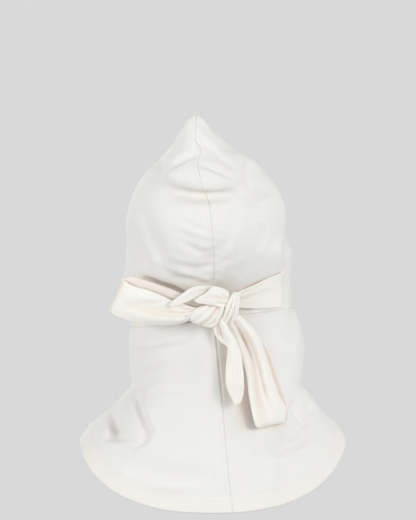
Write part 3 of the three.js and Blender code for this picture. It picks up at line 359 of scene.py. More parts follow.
LEAF_PLEATS = (
    (0.5, 0.55, 4.6, 0.3, 0.12, -2.2, SOFT),
    (1.0, 0.32, 4.4, 0.12, 0.06, -1.2, CREASE),
    (5.5, 0.3, 11.0, 0.42, 0.14, -0.9, SOFT),
)
TAIL_SHORT = table(
    "xa za xb zb h0 h1 h2 h3 h4",
    (42.6, -162.0, 40.4, -165.2, 18.5, 18.5, 18.4, 18.2, 18),
    (38.9, -158.2, 35.0, -163.4, 19.5, 19.8, 19.6, 19.4, 19),
    (30.5, -151.8, 25.0, -159.5, 20.5, 21, 20.8, 20.5, 20),
    (21.2, -145.3, 15.5, -155.0, 21.5, 22, 21.8, 21, 20),
    (12.7, -142.8, 6.5, -150.5, 21.5, 21.5, 20.5, 18.5, 17),
    (4.0, -142.2, 0.0, -152.0, 19, 18.5, 17, 16, 15.5),
    (-5.0, -142.6, -6.0, -156.0, 16, 15.5, 15, 14.5, 14.5),
)
TAIL_SHORT_FRONT = table(
    "xa za xb zb h0 h1 h2 h3 h4",
    (5.4, -152.6, 18.8, -156.2, 19.0, 19.4, 19.0, 18.0, 16.5),
    (1.5, -148.0, 13.0, -160.4, 21.0, 21.8, 21.0, 20.0, 18.0),
    (-2.4, -143.4, 5.0, -161.8, 22.5, 23.4, 22.8, 22.0, 20.0),
    (-8.0, -143.4, -2.6, -163.0, 22.5, 23.6, 23.8, 23.0, 21.0),
    (-14.0, -145.2, -9.0, -164.6, 21.5, 23.2, 23.8, 23.2, 21.0),
    (-18.8, -148.8, -14.5, -166.5, 19.0, 21.2, 22.5, 22, 20),
    (-20.2, -153.5, -17.5, -166.0, 15, 17.5, 19, 18.5, 16),
)
FLAP_PLEATS = (
    (1.2, 0.62, 5.6, 0.5, 0.1, -1.6, SOFT),
    (3.4, 0.84, 6.0, 0.62, 0.06, -1.8, CREASE),
    (3.8, 0.3, 6.0, 0.42, 0.05, -1.3, CREASE),
)
STRIP_PLEATS = (
    (1.0, 0.6, 5.0, 0.5, 0.1, -0.6, SOFT),
)

# Turn of cloth that wraps the knot, as a free ribbon
WRAP = table(
    "xa za xb zb h0 h1 h2 h3 h4",
    (-22.2, -148.8, -32.2, -149.4, 12, 14, 14.5, 13, 10),
    (-21.4, -152.4, -31.8, -152.0, 17, 20, 20.5, 18.5, 14),
    (-18.6, -159.5, -30.8, -160, 20.5, 23.5, 24, 22, 16.5),
    (-15.6, -166.5, -29.8, -168, 21.8, 24.8, 25.2, 23, 16.5),
    (-12.4, -173.5, -28.4, -175, 21, 24, 24.4, 22, 15.5),
    (-9.4, -179, -25.2, -180.2, 18, 21, 21.2, 19, 13.5),
    (-8.0, -182.8, -20.5, -184, 13.5, 15.5, 15.5, 14, 10),
)
WRAP_PLEATS = (
    (0.8, 0.4, 5.8, 0.3, 0.07, -2.0, CREASE),
    (1.4, 0.68, 5.8, 0.58, 0.06, -1.5, CREASE),
    (2.6, 0.14, 5.4, 0.1, 0.05, -1.0, CREASE),
)
BAND_PLEATS = {
    -1: (
        (0.6, 0.3, 4.6, 0.14, 0.06, -1.6, CREASE),
        (0.8, 0.55, 5.4, 0.42, 0.07, -1.3, CREASE),
        (1.6, 0.8, 4.2, 0.7, 0.07, -0.8, CREASE),
    ),
    1: (
        (1.6, 0.2, 4.4, 0.1, 0.06, -1.5, CREASE),
        (2.0, 0.42, 5.2, 0.34, 0.08, -1.2, CREASE),
    ),
}

# Rolled pieces of the knot, in millimetres. x and z: the roll's middle. wide and deep: its
# full width and thickness. out: its height over the knot's place on the hood.
KNOT_ROLL = table(
    "x z wide deep out",
    (22.5, -173.5, 3.0, 4.0, 9.0),
    (19.5, -174.5, 10.0, 9.0, 11.5),
    (14.0, -174.5, 16.5, 14.0, 13.5),
    (7.0, -173.5, 20.5, 17.0, 15.0),
    (0.0, -172.5, 21.0, 18.0, 15.0),
    (-7.0, -171.0, 18.5, 17.0, 14.5),
    (-13.5, -168.5, 14.0, 14.0, 14.0),
    (-18.5, -166.0, 9.0, 10.0, 13.0),
)
KNOT_UNDER = table(
    "x z wide deep out",
    (9.0, -182.5, 4.0, 4.0, 12.0),
    (4.5, -181.8, 8.0, 8.0, 14.0),
    (-1.0, -181.0, 11.0, 11.0, 15.5),
    (-6.5, -177.0, 11.0, 11.5, 16.0),
    (-11.0, -171.0, 9.5, 10.5, 16.0),
    (-14.5, -164.5, 7.0, 8.0, 16.0),
)

# Pleats in the rolls: a row and a place round the roll at each end, then a depth and a half
# width as shares of the roll. Place 0 is on top and 0.25 faces out.
KNOT_PLEATS = (
    (2.4, 0.46, 6.2, 0.06, 0.2, 0.035),
    (1.2, 0.4, 4.8, 0.04, 0.12, 0.03),
    (3.8, 0.46, 6.8, 0.12, 0.12, 0.03),
)
UNDER_PLEATS = (
    (0.8, 0.3, 4.6, 0.24, 0.14, 0.04),
)

# The rolled edge of the turn of cloth that wraps the knot
WRAP_EDGE = table(
    "x z wide deep out",
    (-13.0, -158.5, 2.6, 3.0, 17.0),
    (-13.4, -163.5, 3.6, 4.4, 21.0),
    (-12.0, -169.0, 3.8, 4.8, 22.6),
    (-9.0, -175.0, 3.8, 4.8, 22.0),
    (-5.0, -181.0, 3.6, 4.4, 18.6),
    (-2.5, -185.0, 2.4, 2.6, 14.0),
)


def lerp(a, b, share):
    return a + (b - a) * share


def signed_power(value, power):
    return np.sign(value) * np.abs(value) ** power


def depth_of(drop):
    """Depth under the seat of a drop given in the tables' shares."""
    drop = np.asarray(drop, float)
    below = np.where(drop <= 1, drop * NECK_DROP, NECK_DROP + (drop - 1) * YOKE_DROP_BACK)
    return np.where(drop < 0, drop * PEAK_RISE, below)


def read_table(rows, key, at):
    """A smooth curve through a table's rows, read at values of its key column."""
    keys = rows[key]
    at = np.asarray(at, float)
    start = np.searchsorted(keys[1:-1], at, side="left")
    end = start + 1
    before = np.maximum(start - 1, 0)
    after = np.minimum(start + 2, len(keys) - 1)
    span = keys[end] - keys[start]
    t = np.clip((at - keys[start]) / span, 0, 1)
    result = {}
    for name, values in rows.items():
        start_slope = (values[end] - values[before]) / (keys[end] - keys[before]) * span
        end_slope = (values[after] - values[start]) / (keys[after] - keys[start]) * span
        rise = values[end] - values[start]
        bend = 3 * rise - 2 * start_slope - end_slope
        twist = start_slope + end_slope - 2 * rise
        result[name] = values[start] + t * (start_slope + t * (bend + t * twist))
    return result


def numbered(rows):
    """The table with a column that counts its rows."""
    count = len(next(iter(rows.values())))
    return {**rows, "step": np.arange(count, dtype=float)}


RING_ROWS = {
    "depth": depth_of(RINGS["drop"]),
    "left": RINGS["left"] * HALF_BREADTH,
    "right": RINGS["right"] * HALF_BREADTH,
    "back": RINGS["back"] * HALF_DEPTH,
    "front": RINGS["front"] * HALF_DEPTH,
}
SEAM_ROWS = {"depth": depth_of(SEAM["drop"]), "x": SEAM["x"] * HALF_BREADTH}


def section_of(row):
    """A level section as a centre and two half sizes."""
    return {
        "x": (row["left"] - row["right"]) / 2,
        "y": (row["back"] - row["front"]) / 2,
        "half_x": (row["left"] + row["right"]) / 2,
        "half_y": (row["back"] + row["front"]) / 2,
    }


HEM_SECTION = section_of(YOKE_REACH)


def head_section(level):
    return section_of(read_table(RING_ROWS, "depth", -np.asarray(level, float)))


def on_section(section, turn, power):
    across = np.abs(np.sin(turn)) / section["half_x"]
    along = np.abs(np.cos(turn)) / section["half_y"]
    radius = (across**power + along**power) ** (-1 / power)
    return section["x"] + radius * np.sin(turn), section["y"] + radius * np.cos(turn)


def turn_beside(section, beside, facing):
    """The turn at which a section is a given way beside its centre, on the back or front."""
    share = np.clip(np.abs(beside) / section["half_x"], 0, 1)
    along = section["half_y"] * (1 - share**HEAD_POWER) ** (1 / HEAD_POWER)
    return np.arctan2(beside, facing * along)


def hem_drop(y):
    """How far the hem falls below the neck, from the shoulder's ridge to the back or chest."""
    reach = np.where(y > 0, YOKE_REACH["back"], YOKE_REACH["front"])
    full = np.where(y > 0, YOKE_DROP_BACK, YOKE_DROP_FRONT)
    rounded = np.hypot(y / reach, RIDGE_ROUNDING) - RIDGE_ROUNDING
    share = rounded / (np.hypot(1, RIDGE_ROUNDING) - RIDGE_ROUNDING)
    return lerp(SHOULDER_DROP, full, share)


def plain_surface(turn, level):
    """The hood without folds. Down to the neck a level is a height, and past it the yoke's
    share times its drop at the back."""
    turn, level = np.broadcast_arrays(np.asarray(turn, float), np.asarray(level, float))
    neck_x, neck_y = on_section(head_section(np.maximum(level, -NECK_DROP)), turn, HEAD_POWER)
    hem_x, hem_y = on_section(HEM_SECTION, turn, HEM_POWER)
    share = np.maximum((-NECK_DROP - level) / YOKE_DROP_BACK, 0)
    evenness = SHOULDER_EVENNESS * np.abs(np.sin(turn)) ** 3
    spread = lerp(share * (1 + share) / 2, share, evenness)
    z = np.where(level >= -NECK_DROP, level, -NECK_DROP - share * hem_drop(hem_y))
    return np.stack([lerp(neck_x, hem_x, spread), lerp(neck_y, hem_y, spread), z], -1)


CURVE_STEPS = 10


def fold_lines(rows, unit_of, down, wide, deep):
    """A table of folds as curves of points in millimetres."""
    t = np.linspace(0, 1, CURVE_STEPS + 1)
    weights = (1 - t) ** 2, 2 * t * (1 - t), t**2
    lines = []
    for i, face in enumerate(rows["face"].astype(int)):
        unit = unit_of(face)
        across = sum(w * rows[f"a{k}"][i] * unit for k, w in enumerate(weights))
        level = sum(w * -down(rows[f"d{k}"][i]) for k, w in enumerate(weights))
        lines.append((face, across, level, rows["width"][i] * wide, rows["depth"][i] * deep))
    return lines


def face_unit(face):
    return HALF_DEPTH if face in (LEFT_SIDE, RIGHT_SIDE) else HALF_BREADTH


def lines_in_millimetres(rows):
    return fold_lines(rows, lambda face: 1.0, lambda down: down, 1.0, 1.0)


MAIN_FOLDS = fold_lines(FOLDS, face_unit, depth_of, FOLD_WIDTH, FOLD_DEPTH)
FINE_FOLDS = lines_in_millimetres(WRINKLES)
FINE_FOLD_KINDS = WRINKLES["kind"].astype(int)
# The painted shadows of the ties' hanging ends on the hood
PAINTED_TAIL_SHADOWS = lines_in_millimetres(SHADES)


def soft_profile(gap, over):
    """A fold's height beside its line, which is 1 on it, by the distance in half widths.
    over: whether the place is above the line, which this profile does not use."""
    return np.exp(-(gap**2))


CREASE_SHARPNESS = 1.6
LIP_HEIGHT = 0.42
LIP_PLACE = 2.1
OVERHANG_STEEPNESS = 1.15


def crease_profile(gap, over):
    """A sharp bottom with a small lip on both sides."""
    sharp = CREASE_SHARPNESS * gap
    return np.exp(-sharp) * (1 + sharp) - LIP_HEIGHT * np.exp(-((gap - LIP_PLACE) ** 2))


def overhang_profile(gap, over):
    """A long swell above the line that drops more quickly below it."""
    return np.exp(-(np.where(over, gap, gap * OVERHANG_STEEPNESS) ** 2))


PROFILES = {SOFT: soft_profile, CREASE: crease_profile, OVERHANG: overhang_profile}

# How far a fold reaches, in half widths, and how its height fades towards its ends
FOLD_REACH = 4
BRISK_FADING = 0.5
EVEN_FADING = 1.0
SHADE_FADING = 0.25


def fold_height(line, across, level, profile, fading):
    """Height of one fold at places, most in its middle and nothing at its ends. The larger
    the fading, the longer its ends run out."""
    _, xs, zs, width, depth = line
    height = np.zeros_like(across)
    reach = FOLD_REACH * width
    near = (across > xs.min() - reach) & (across < xs.max() + reach)
    near &= (level > zs.min() - reach) & (level < zs.max() + reach)
    if not near.any():
        return height
    x, z = across[near], level[near]
    nearest = np.full(x.shape, np.inf)
    place = np.zeros(x.shape)
    over = np.zeros(x.shape, bool)
    for i in range(CURVE_STEPS):
        dx, dz = xs[i + 1] - xs[i], zs[i + 1] - zs[i]
        t = np.clip(((x - xs[i]) * dx + (z - zs[i]) * dz) / (dx * dx + dz * dz), 0, 1)
        gap = np.hypot(x - xs[i] - t * dx, z - zs[i] - t * dz)
        closer = gap < nearest
        nearest = np.where(closer, gap, nearest)
        place = np.where(closer, (i + t) / CURVE_STEPS, place)
        over = np.where(closer, z > zs[i] + t * dz, over)
    taper = np.maximum(np.sin(math.pi * place), 0) ** fading
    height[near] = depth * taper * profile(nearest / width, over)
    return height


def folds_at(lines, turn, points, profile, fading=BRISK_FADING):
    """Height of all the folds in a list at places on the hood."""
    total = np.zeros(turn.shape)
    for line in lines:
        face = line[0]
        seen = np.clip(np.cos(turn - FACE_TURNS[face]) * FACE_FADE, 0, 1)
        across = points[..., 1 if face in (LEFT_SIDE, RIGHT_SIDE) else 0]
        total += seen * fold_height(line, across, points[..., 2], profile, fading)
    return total


def surface(turn, level):
    """The hood's outer face with its main folds, which stand out level from the seat's axis."""
    turn, level = np.broadcast_arrays(np.asarray(turn, float), np.asarray(level, float))
    points = plain_surface(turn, level)
    height = folds_at(MAIN_FOLDS, turn, points, soft_profile)
    points[..., 0] += height * np.sin(turn)
    points[..., 1] += height * np.cos(turn)
    return points


# Small steps that the normals are measured with, in radians and millimetres
TURN_STEP = 0.01
LEVEL_STEP = 0.5


def unit(vectors):
    length = np.linalg.norm(vectors, axis=-1, keepdims=True)
    return vectors / np.maximum(length, 1e-9)


def off_surface(turn, level, height):
    """The outer face moved out along its own normal."""
    turn, level = np.broadcast_arrays(np.asarray(turn, float), np.asarray(level, float))
    across = surface(turn + TURN_STEP, level) - surface(turn - TURN_STEP, level)
    down = surface(turn, level - LEVEL_STEP) - surface(turn, level + LEVEL_STEP)
    normal = unit(np.cross(across, down))
    facing = normal[..., 0] * np.sin(turn) + normal[..., 1] * np.cos(turn)
    normal *= np.where(facing < 0, -1, 1)[..., None]
    return surface(turn, level) + normal * np.asarray(height, float)[..., None]


def level_at(turn, z):
    """Level of a height on the yoke, which falls less at the shoulders than at the back."""
    _, hem_y = on_section(HEM_SECTION, turn, HEM_POWER)
    below = -NECK_DROP - (-NECK_DROP - z) / hem_drop(hem_y) * YOKE_DROP_BACK
    return np.where(z >= -NECK_DROP, z, below)


# The search for a place on the back: the widest turn to each side, and how often it is halved
WIDEST_TURN = math.radians(86)
SEARCH_STEPS = 24


def back_face(x, z, shape):
    """How far back the hood reaches at places seen from behind, or less beside its outline."""
    low = np.full(x.shape, -WIDEST_TURN)
    high = np.full(x.shape, WIDEST_TURN)
    for _ in range(SEARCH_STEPS):
        middle = (low + high) / 2
        short = shape(middle, level_at(middle, z))[..., 0] < x
        low = np.where(short, middle, low)
        high = np.where(short, high, middle)
    found = shape(low, level_at(low, z))
    return np.where(np.abs(found[..., 0] - x) < 1, found[..., 1], -HALF_DEPTH)


class BackMap:
    """The hood's back as a map of depths, read between its points, which lie a pitch apart
    from its low corner to its high one."""

    PITCH = 2.0
    LOW = (-100.0, -305.0)
    HIGH = (112.0, -125.0)

    def __init__(self, shape):
        xs = np.arange(self.LOW[0], self.HIGH[0] + self.PITCH, self.PITCH)
        zs = np.arange(self.LOW[1], self.HIGH[1] + self.PITCH, self.PITCH)
        self.grid = back_face(*np.meshgrid(xs, zs), shape)

    def read(self, x, z):
        column = np.clip((x - self.LOW[0]) / self.PITCH, 0, self.grid.shape[1] - 1.001)
        row = np.clip((z - self.LOW[1]) / self.PITCH, 0, self.grid.shape[0] - 1.001)
        c, r = column.astype(int), row.astype(int)
        fc, fr = column - c, row - r
        top = lerp(self.grid[r, c], self.grid[r, c + 1], fc)
        bottom = lerp(self.grid[r + 1, c], self.grid[r + 1, c + 1], fc)
        return lerp(top, bottom, fr)


def neck_seam_level(turn):
    x, _ = on_section(head_section(-NECK_SEAM_DROP), turn, HEAD_POWER)
    return -NECK_SEAM_DROP - NECK_SEAM_TILT * x


def face_edge(side, angle, inset):
    """The face opening's edge at an angle round it, 0 at the brow, as a turn and a level."""
    level = -FACE_CENTRE_DROP + (FACE_HEIGHT / 2 - inset) * np.cos(angle)
    beside = side * (FACE_WIDTH / 2 - inset) * np.sin(angle)
    return turn_beside(head_section(level), beside, -1), level


# Rounds after which the searches for the jaw's place and for the seam's turn have settled
JAW_SEARCHES = 6
SEAM_SEARCHES = 8


def jaw_angle(side):
    """The angle round the face opening at which the neck seam meets it."""
    level = -NECK_SEAM_DROP
    for _ in range(JAW_SEARCHES):
        angle = math.acos((level + FACE_CENTRE_DROP) / (FACE_HEIGHT / 2))
        turn, _ = face_edge(side, angle, 0)
        level = float(neck_seam_level(turn))
    return angle


def back_turn(side, level):
    """The turn of the centre-back seam at levels, half a gap to one side of it."""
    level = np.asarray(level, float)
    seam = read_table(SEAM_ROWS, "depth", -level)["x"] + side * JOIN_GAP / 2
    section = head_section(np.maximum(level, -NECK_DROP))
    head_turn = turn_beside(section, seam - section["x"], 1)
    turn = np.zeros(level.shape)
    for _ in range(SEAM_SEARCHES):
        point = plain_surface(turn, level)
        turn = turn + (seam - point[..., 0]) / point[..., 1]
    return np.where(level >= -NECK_DROP, head_turn, turn)


def front_turn(side, level):
    """The turn of a panel's edge on the centre-front line."""
    level = np.asarray(level, float)
    point = plain_surface(np.full(level.shape, math.pi), level)
    section = head_section(np.maximum(level, -NECK_DROP))
    centre = np.where(level >= -NECK_DROP, section["y"], HEM_SECTION["y"])
    return side * (math.pi - JOIN_GAP / 2 / np.abs(point[..., 1] - centre))


# How closely a panel's rows follow the face opening's edge near it, how much its points crowd
# at its seams, and how its rows crowd at the jaw
EDGE_PULL = 3
SEAM_CROWDING = 0.93
JAW_CROWDING = 1.25

# The stretch over the lower edge, in levels, that the yoke's slope at the hem is measured on
HEM_SLOPE_STEP = 1


def hem_top(turn):
    """The hem's upper edge, at an even distance from the lower one."""
    above = plain_surface(turn, HEM_LEVEL + HEM_SLOPE_STEP)
    slope = np.linalg.norm(above - plain_surface(turn, HEM_LEVEL), axis=-1)
    return HEM_LEVEL + HEM_DEPTH / slope


def crowded(count, ends):
    """Shares from 0 to 1 that crowd together at both ends, and more so as ends grows."""
    t = np.linspace(0, 1, count)
    return t - ends * np.sin(2 * math.pi * t) / (2 * math.pi)


def crown_places(side, columns, rows_over, rows_beside):
    """Turns and levels of a crown panel, from the centre-back seam to the front."""
    across = crowded(columns, SEAM_CROWDING)[None, :]
    brow = -FACE_CENTRE_DROP + FACE_HEIGHT / 2
    jaw = jaw_angle(side)
    levels = lerp(PEAK_RISE, brow, np.linspace(0, 1, rows_over, endpoint=False))[:, None]
    turn_over = lerp(back_turn(side, levels), front_turn(side, levels), across)
    level_over = np.broadcast_to(levels, turn_over.shape)
    share = 1 - (1 - np.linspace(0, 1, rows_beside)[:, None]) ** JAW_CROWDING
    edge_turn, edge_level = face_edge(side, share * jaw, 0)
    edge_turn[0] = front_turn(side, brow)

    def line(turn):
        return lerp(brow, neck_seam_level(turn) + JOIN_GAP / 2, share)

    turn_beside_face = lerp(back_turn(side, line(0.0)), edge_turn, across)
    edge_level[-1] = line(edge_turn)[-1]
    level_beside = lerp(line(turn_beside_face), edge_level, across**EDGE_PULL)
    return np.vstack([turn_over, turn_beside_face]), np.vstack([level_over, level_beside])


def yoke_places(side, columns, rows_beside, rows_under):
    """Turns and levels of a yoke panel, from the centre-back seam to the front."""
    across = crowded(columns, SEAM_CROWDING)[None, :]
    chin = -FACE_CENTRE_DROP - FACE_HEIGHT / 2
    jaw = jaw_angle(side)
    share = np.linspace(0, 1, rows_beside, endpoint=False)[:, None] ** JAW_CROWDING
    edge_turn, edge_level = face_edge(side, lerp(jaw, math.pi, share), 0)

    def line(turn):
        return lerp(neck_seam_level(turn) - JOIN_GAP / 2, chin, share)

    turns = lerp(back_turn(side, line(0.0)), edge_turn, across)
    edge_level[0] = line(edge_turn)[0]
    levels = lerp(line(turns), edge_level, across**EDGE_PULL)
    share_under = np.linspace(0, 1, rows_under)[:, None]

    def line_under(turn):
        return lerp(chin, hem_top(turn), share_under)

    start = back_turn(side, line_under(0.0))
    end = front_turn(side, line_under(math.pi))
    turns_under = lerp(start, end, across)
    return np.vstack([turns, turns_under]), np.vstack([levels, line_under(turns_under)])


def grid_normals(points):
    """Unit normals of a grid of points, across its columns times down its rows."""
    return unit(np.cross(np.gradient(points, axis=1), np.gradient(points, axis=0)))


def outward(normals, turn):
    facing = normals[..., 0] * np.sin(turn) + normals[..., 1] * np.cos(turn)
    return normals * (1 if facing.sum() > 0 else -1)


def run_along(points, axis):
    """Distance along a grid's lines from their first point."""
    steps = np.linalg.norm(np.diff(points, axis=axis), axis=-1)
    start = np.zeros_like(np.take(steps, [0], axis=axis))
    return np.cumsum(np.concatenate([start, steps], axis=axis), axis=axis)


# The gentle unevenness of worn jersey as waves: length across and down, phase and height
SOFT_WAVES = (
    (61, 83, 0.4, 0.34),
    (43, 97, 2.1, 0.26),
    (29, 51, 4.0, 0.14),
    (23, 37, 5.2, 0.09),
)


def slackness(points):
    """The gentle unevenness of worn jersey."""
    height = np.zeros(points.shape[:-1])
    for across, down, phase, size in SOFT_WAVES:
        run = points[..., 0] / across + points[..., 1] / (across * 1.3) + points[..., 2] / down
        height += size * np.sin(2 * math.pi * run + phase)
    return height


# The rounding of the cloth over the shoulders' ends: its height, and its middle's place over the
# hem and its reach
ROUNDING_HEIGHT = 3.4
ROUNDING_PLACE = 14
ROUNDING_REACH = 10


def shoulder_rounding(turn, points):
    over_hem = points[..., 2] + NECK_DROP + hem_drop(points[..., 1])
    round_here = np.exp(-(((over_hem - ROUNDING_PLACE) / ROUNDING_REACH) ** 2))
    return ROUNDING_HEIGHT * np.abs(np.sin(turn)) ** 8 * round_here


def wrinkles(turn, points):
    """Height of all the fine wrinkles at places on the hood."""
    height = slackness(points)
    for kind, profile in PROFILES.items():
        lines = [line for line, own in zip(FINE_FOLDS, FINE_FOLD_KINDS) if own == kind]
        fading = BRISK_FADING if kind == CREASE else EVEN_FADING
        height += folds_at(lines, turn, points, profile, fading)
    return height + shoulder_rounding(turn, points)


# Gathers of the centre-back seam, between two drops under the seat
GATHER_TOP = 70
GATHER_BOTTOM = 150
GATHER_PITCH = 8.5
GATHER_HEIGHT = 0.45
GATHER_LEAN = 0.22
GATHER_REACH = 11


def gathers(from_seam, level):
    """Small ripples that run out of the centre-back seam where it is drawn up."""
    place = np.clip((-level - GATHER_TOP) / (GATHER_BOTTOM - GATHER_TOP), 0, 1)
    window = np.sin(math.pi * place) ** 0.7
    wave = np.sin(2 * math.pi * (level + GATHER_LEAN * from_seam) / GATHER_PITCH)
    return GATHER_HEIGHT * window * wave * np.exp(-from_seam / GATHER_REACH)


# A seam's groove, and the ridge that its allowance makes beside it, with its height at each seam
GROOVE_DEPTH = 0.75
GROOVE_REACH = 0.6
RIDGE_PLACE = 2.4
RIDGE_REACH = 1.5
BACK_RIDGE = {1: 0.5, -1: 0.15}
FRONT_RIDGE = 0.25
NECK_RIDGE = 0.45


def seam_relief(distance, ridge):
    """Height of the cloth at distances from a seam."""
    groove = -GROOVE_DEPTH * np.exp(-((distance / GROOVE_REACH) ** 2))
    return groove + ridge * np.exp(-(((distance - RIDGE_PLACE) / RIDGE_REACH) ** 2))


def link_to_scene(item):
    bpy.context.scene.collection.objects.link(item)


def new_mesh(name, points, quads, places, material, rims=None, painted_shade=None):
    """A smooth closed mesh from points in millimetres, with its quads turned out. places: each
    point's place on the flat cloth. rims: points with sharp edges between them. The last
    argument: each point's share of painted shade, a darker, warmer tone painted where shade falls."""
    mesh = bpy.data.meshes.new(name)
    points = np.asarray(points, float).reshape(-1, 3)
    corners = points[quads]
    volume = np.einsum("ij,ij->", corners[:, 0], np.cross(corners[:, 1], corners[:, 2]))
    volume += np.einsum("ij,ij->", corners[:, 0], np.cross(corners[:, 2], corners[:, 3]))
    if volume < 0:
        quads = quads[:, ::-1]
    mesh.vertices.add(len(points))
    mesh.vertices.foreach_set("co", (points * MM).astype(np.float32).ravel())
    mesh.loops.add(quads.size)
    mesh.loops.foreach_set("vertex_index", quads.astype(np.int32).ravel())
    mesh.polygons.add(len(quads))
    mesh.polygons.foreach_set("loop_start", np.arange(0, quads.size, 4, dtype=np.int32))
    mesh.update(calc_edges=True)
    mesh.polygons.foreach_set("use_smooth", np.ones(len(quads), bool))
    layer = mesh.uv_layers.new(name="cloth")
    flat = np.asarray(places, float).reshape(-1, 2)[quads.ravel()] * MM
    layer.data.foreach_set("uv", flat.astype(np.float32).ravel())
    if rims is not None:
        ends = np.empty(len(mesh.edges) * 2, np.int32)
        mesh.edges.foreach_get("vertices", ends)
        on_rim = np.zeros(len(points), bool)
        on_rim[rims] = True
        sharp = on_rim[ends.reshape(-1, 2)].all(axis=1)
        mesh.attributes.new("sharp_edge", "BOOLEAN", "EDGE").data.foreach_set("value", sharp)
    # Painted shade: each point's share of the darker, warmer tone, stored for the material
    if painted_shade is not None:
        tint = mesh.attributes.new("painted_shade", "FLOAT", "POINT")
        tint.data.foreach_set("value", np.asarray(painted_shade, np.float32).ravel())
    mesh.validate(clean_customdata=False)
    mesh.materials.append(material)
    piece = bpy.data.objects.new(name, mesh)
    link_to_scene(piece)
    return piece


def grid_faces(rows, columns, ring=False):
    """Quads over a grid of points, closed round its columns if it is a ring."""
    r = np.arange(rows - 1)[:, None]
    c = np.arange(columns if ring else columns - 1)[None, :]
    after = (c + 1) % columns
    above, below = r * columns, (r + 1) * columns
    corners = np.broadcast_arrays(above + c, above + after, below + after, below + c)
    return np.stack(corners, -1).reshape(-1, 4)


def tube_faces(rows, sides):
    """Quads round a tube of points, with both its ends closed flat."""
    near = np.arange(sides // 2 - 1)
    far = sides - 1 - near
    cap = np.stack([near, far, far - 1, near + 1], -1)
    last = (rows - 1) * sides
    return np.concatenate([grid_faces(rows, sides, ring=True), cap, cap[:, ::-1] + last])


def hoop_faces(rows, columns):
    """Quads of a grid that closes both round its columns and from its last row to its first."""
    first = np.arange(columns)
    after = (first + 1) % columns
    last = (rows - 1) * columns
    closing = np.stack([last + first, last + after, after, first], -1)
    return np.concatenate([grid_faces(rows, columns, ring=True), closing])


def cloth_places(points):
    """Places on the flat cloth of a grid of points, by its own lengths."""
    return np.stack([run_along(points, 1), run_along(points, 0)], -1)


def border(rows, columns):
    """The points round a grid's edge, in order."""
    top = np.arange(columns)
    right = np.arange(1, rows) * columns + columns - 1
    bottom = (rows - 1) * columns + np.arange(columns - 2, -1, -1)
    left = np.arange(rows - 2, 0, -1) * columns
    return np.concatenate([top, right, bottom, left])


def wall_mesh(name, outer, inner, places, material, painted_shade):
    """A closed cloth wall between two grids of points."""
    rows, columns = outer.shape[:2]
    size = rows * columns
    front = grid_faces(rows, columns)
    back = front[:, ::-1] + size
    rim = border(rows, columns)
    after = np.roll(rim, -1)
    edge = np.stack([rim, rim + size, after + size, after], -1)
    points = np.concatenate([outer.reshape(-1, 3), inner.reshape(-1, 3)])
    both = np.concatenate([places.reshape(-1, 2)] * 2)
    rims = np.concatenate([rim, rim + size])
    # Painted shade on the outer face only; the inner face keeps the cloth's own tone
    painted_shade = np.concatenate([painted_shade.ravel(), np.zeros(size)])
    faces = np.concatenate([front, back, edge])
    return new_mesh(name, points, faces, both, material, rims, painted_shade)


def sew_on(piece):
    """Puts a piece on the cap's one body."""
    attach(piece, "root")


def take_place(piece, node):
    """Puts a piece where a solid of the frame was."""
    sew_on(piece)
    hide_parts(node)


def declare_sheet(piece, node):
    """Puts one sheet of cloth in the place of a solid."""
    take_place(piece, node)


def painted_tail_shadow(turn, points):
    """Share of painted shade on the hood: a painted shadow where the ties' hanging ends cast their
    shade.
    """
    return np.minimum(folds_at(PAINTED_TAIL_SHADOWS, turn, points, soft_profile, SHADE_FADING), 1)


def hood_panel(name, side, turn, level, sewn_front, neck_first, cloth, material):
    """One panel of the hood, its edges turned into the seams round it. sewn_front: whether each
    row ends at the centre-front seam. neck_first: whether the first row is at the neck seam,
    and not the last."""
    points = surface(turn, level)
    normals = outward(grid_normals(points), turn)
    from_seam = run_along(points, 1)
    from_front = run_along(points[:, ::-1], 1)[:, ::-1]
    down = run_along(points, 0)
    height = wrinkles(turn, points) + gathers(from_seam, points[..., 2])
    height += seam_relief(from_seam, BACK_RIDGE[side])
    height += seam_relief(from_front, FRONT_RIDGE) * sewn_front[:, None]
    from_neck = down if neck_first else down[-1:] - down
    height += seam_relief(from_neck, NECK_RIDGE)
    outer = points + normals * height[..., None]
    inner = outer - outward(grid_normals(outer), turn) * cloth
    places = np.stack([from_seam, down], -1)
    return wall_mesh(name, outer, inner, places, material, painted_tail_shadow(turn, points))


# Points of a panel's grid: across it, and down it over the face opening, beside it and under it
CROWN_COLUMNS = 190
CROWN_ROWS_OVER = 74
CROWN_ROWS_BESIDE = 88
YOKE_COLUMNS = 210
YOKE_ROWS_BESIDE = 34
YOKE_ROWS_UNDER = 100


def build_crown(cloth, material):
    for word, side in SIDES.items():
        turn, level = crown_places(side, CROWN_COLUMNS, CROWN_ROWS_OVER, CROWN_ROWS_BESIDE)
        sewn_front = np.arange(len(turn)) < CROWN_ROWS_OVER
        name = f"jersey_crown_{word}"
        piece = hood_panel(name, side, turn, level, sewn_front, False, cloth, material)
        declare_sheet(piece, f"crown_panel_{word}")


def build_yoke(cloth, material):
    for word, side in SIDES.items():
        turn, level = yoke_places(side, YOKE_COLUMNS, YOKE_ROWS_BESIDE, YOKE_ROWS_UNDER)
        sewn_front = np.arange(len(turn)) >= YOKE_ROWS_BESIDE
        name = f"jersey_yoke_{word}"
        piece = hood_panel(name, side, turn, level, sewn_front, True, cloth, material)
        declare_sheet(piece, f"yoke_panel_{word}")


# The hem's grid, the places of its two rows of stitches over the lower edge, and the steps in
# which the cloth turns round that edge
HEM_COLUMNS = 900
HEM_ROWS = 21
STITCH_ROWS = (12.6, 17.2)
HEM_FOLD_STEPS = 8

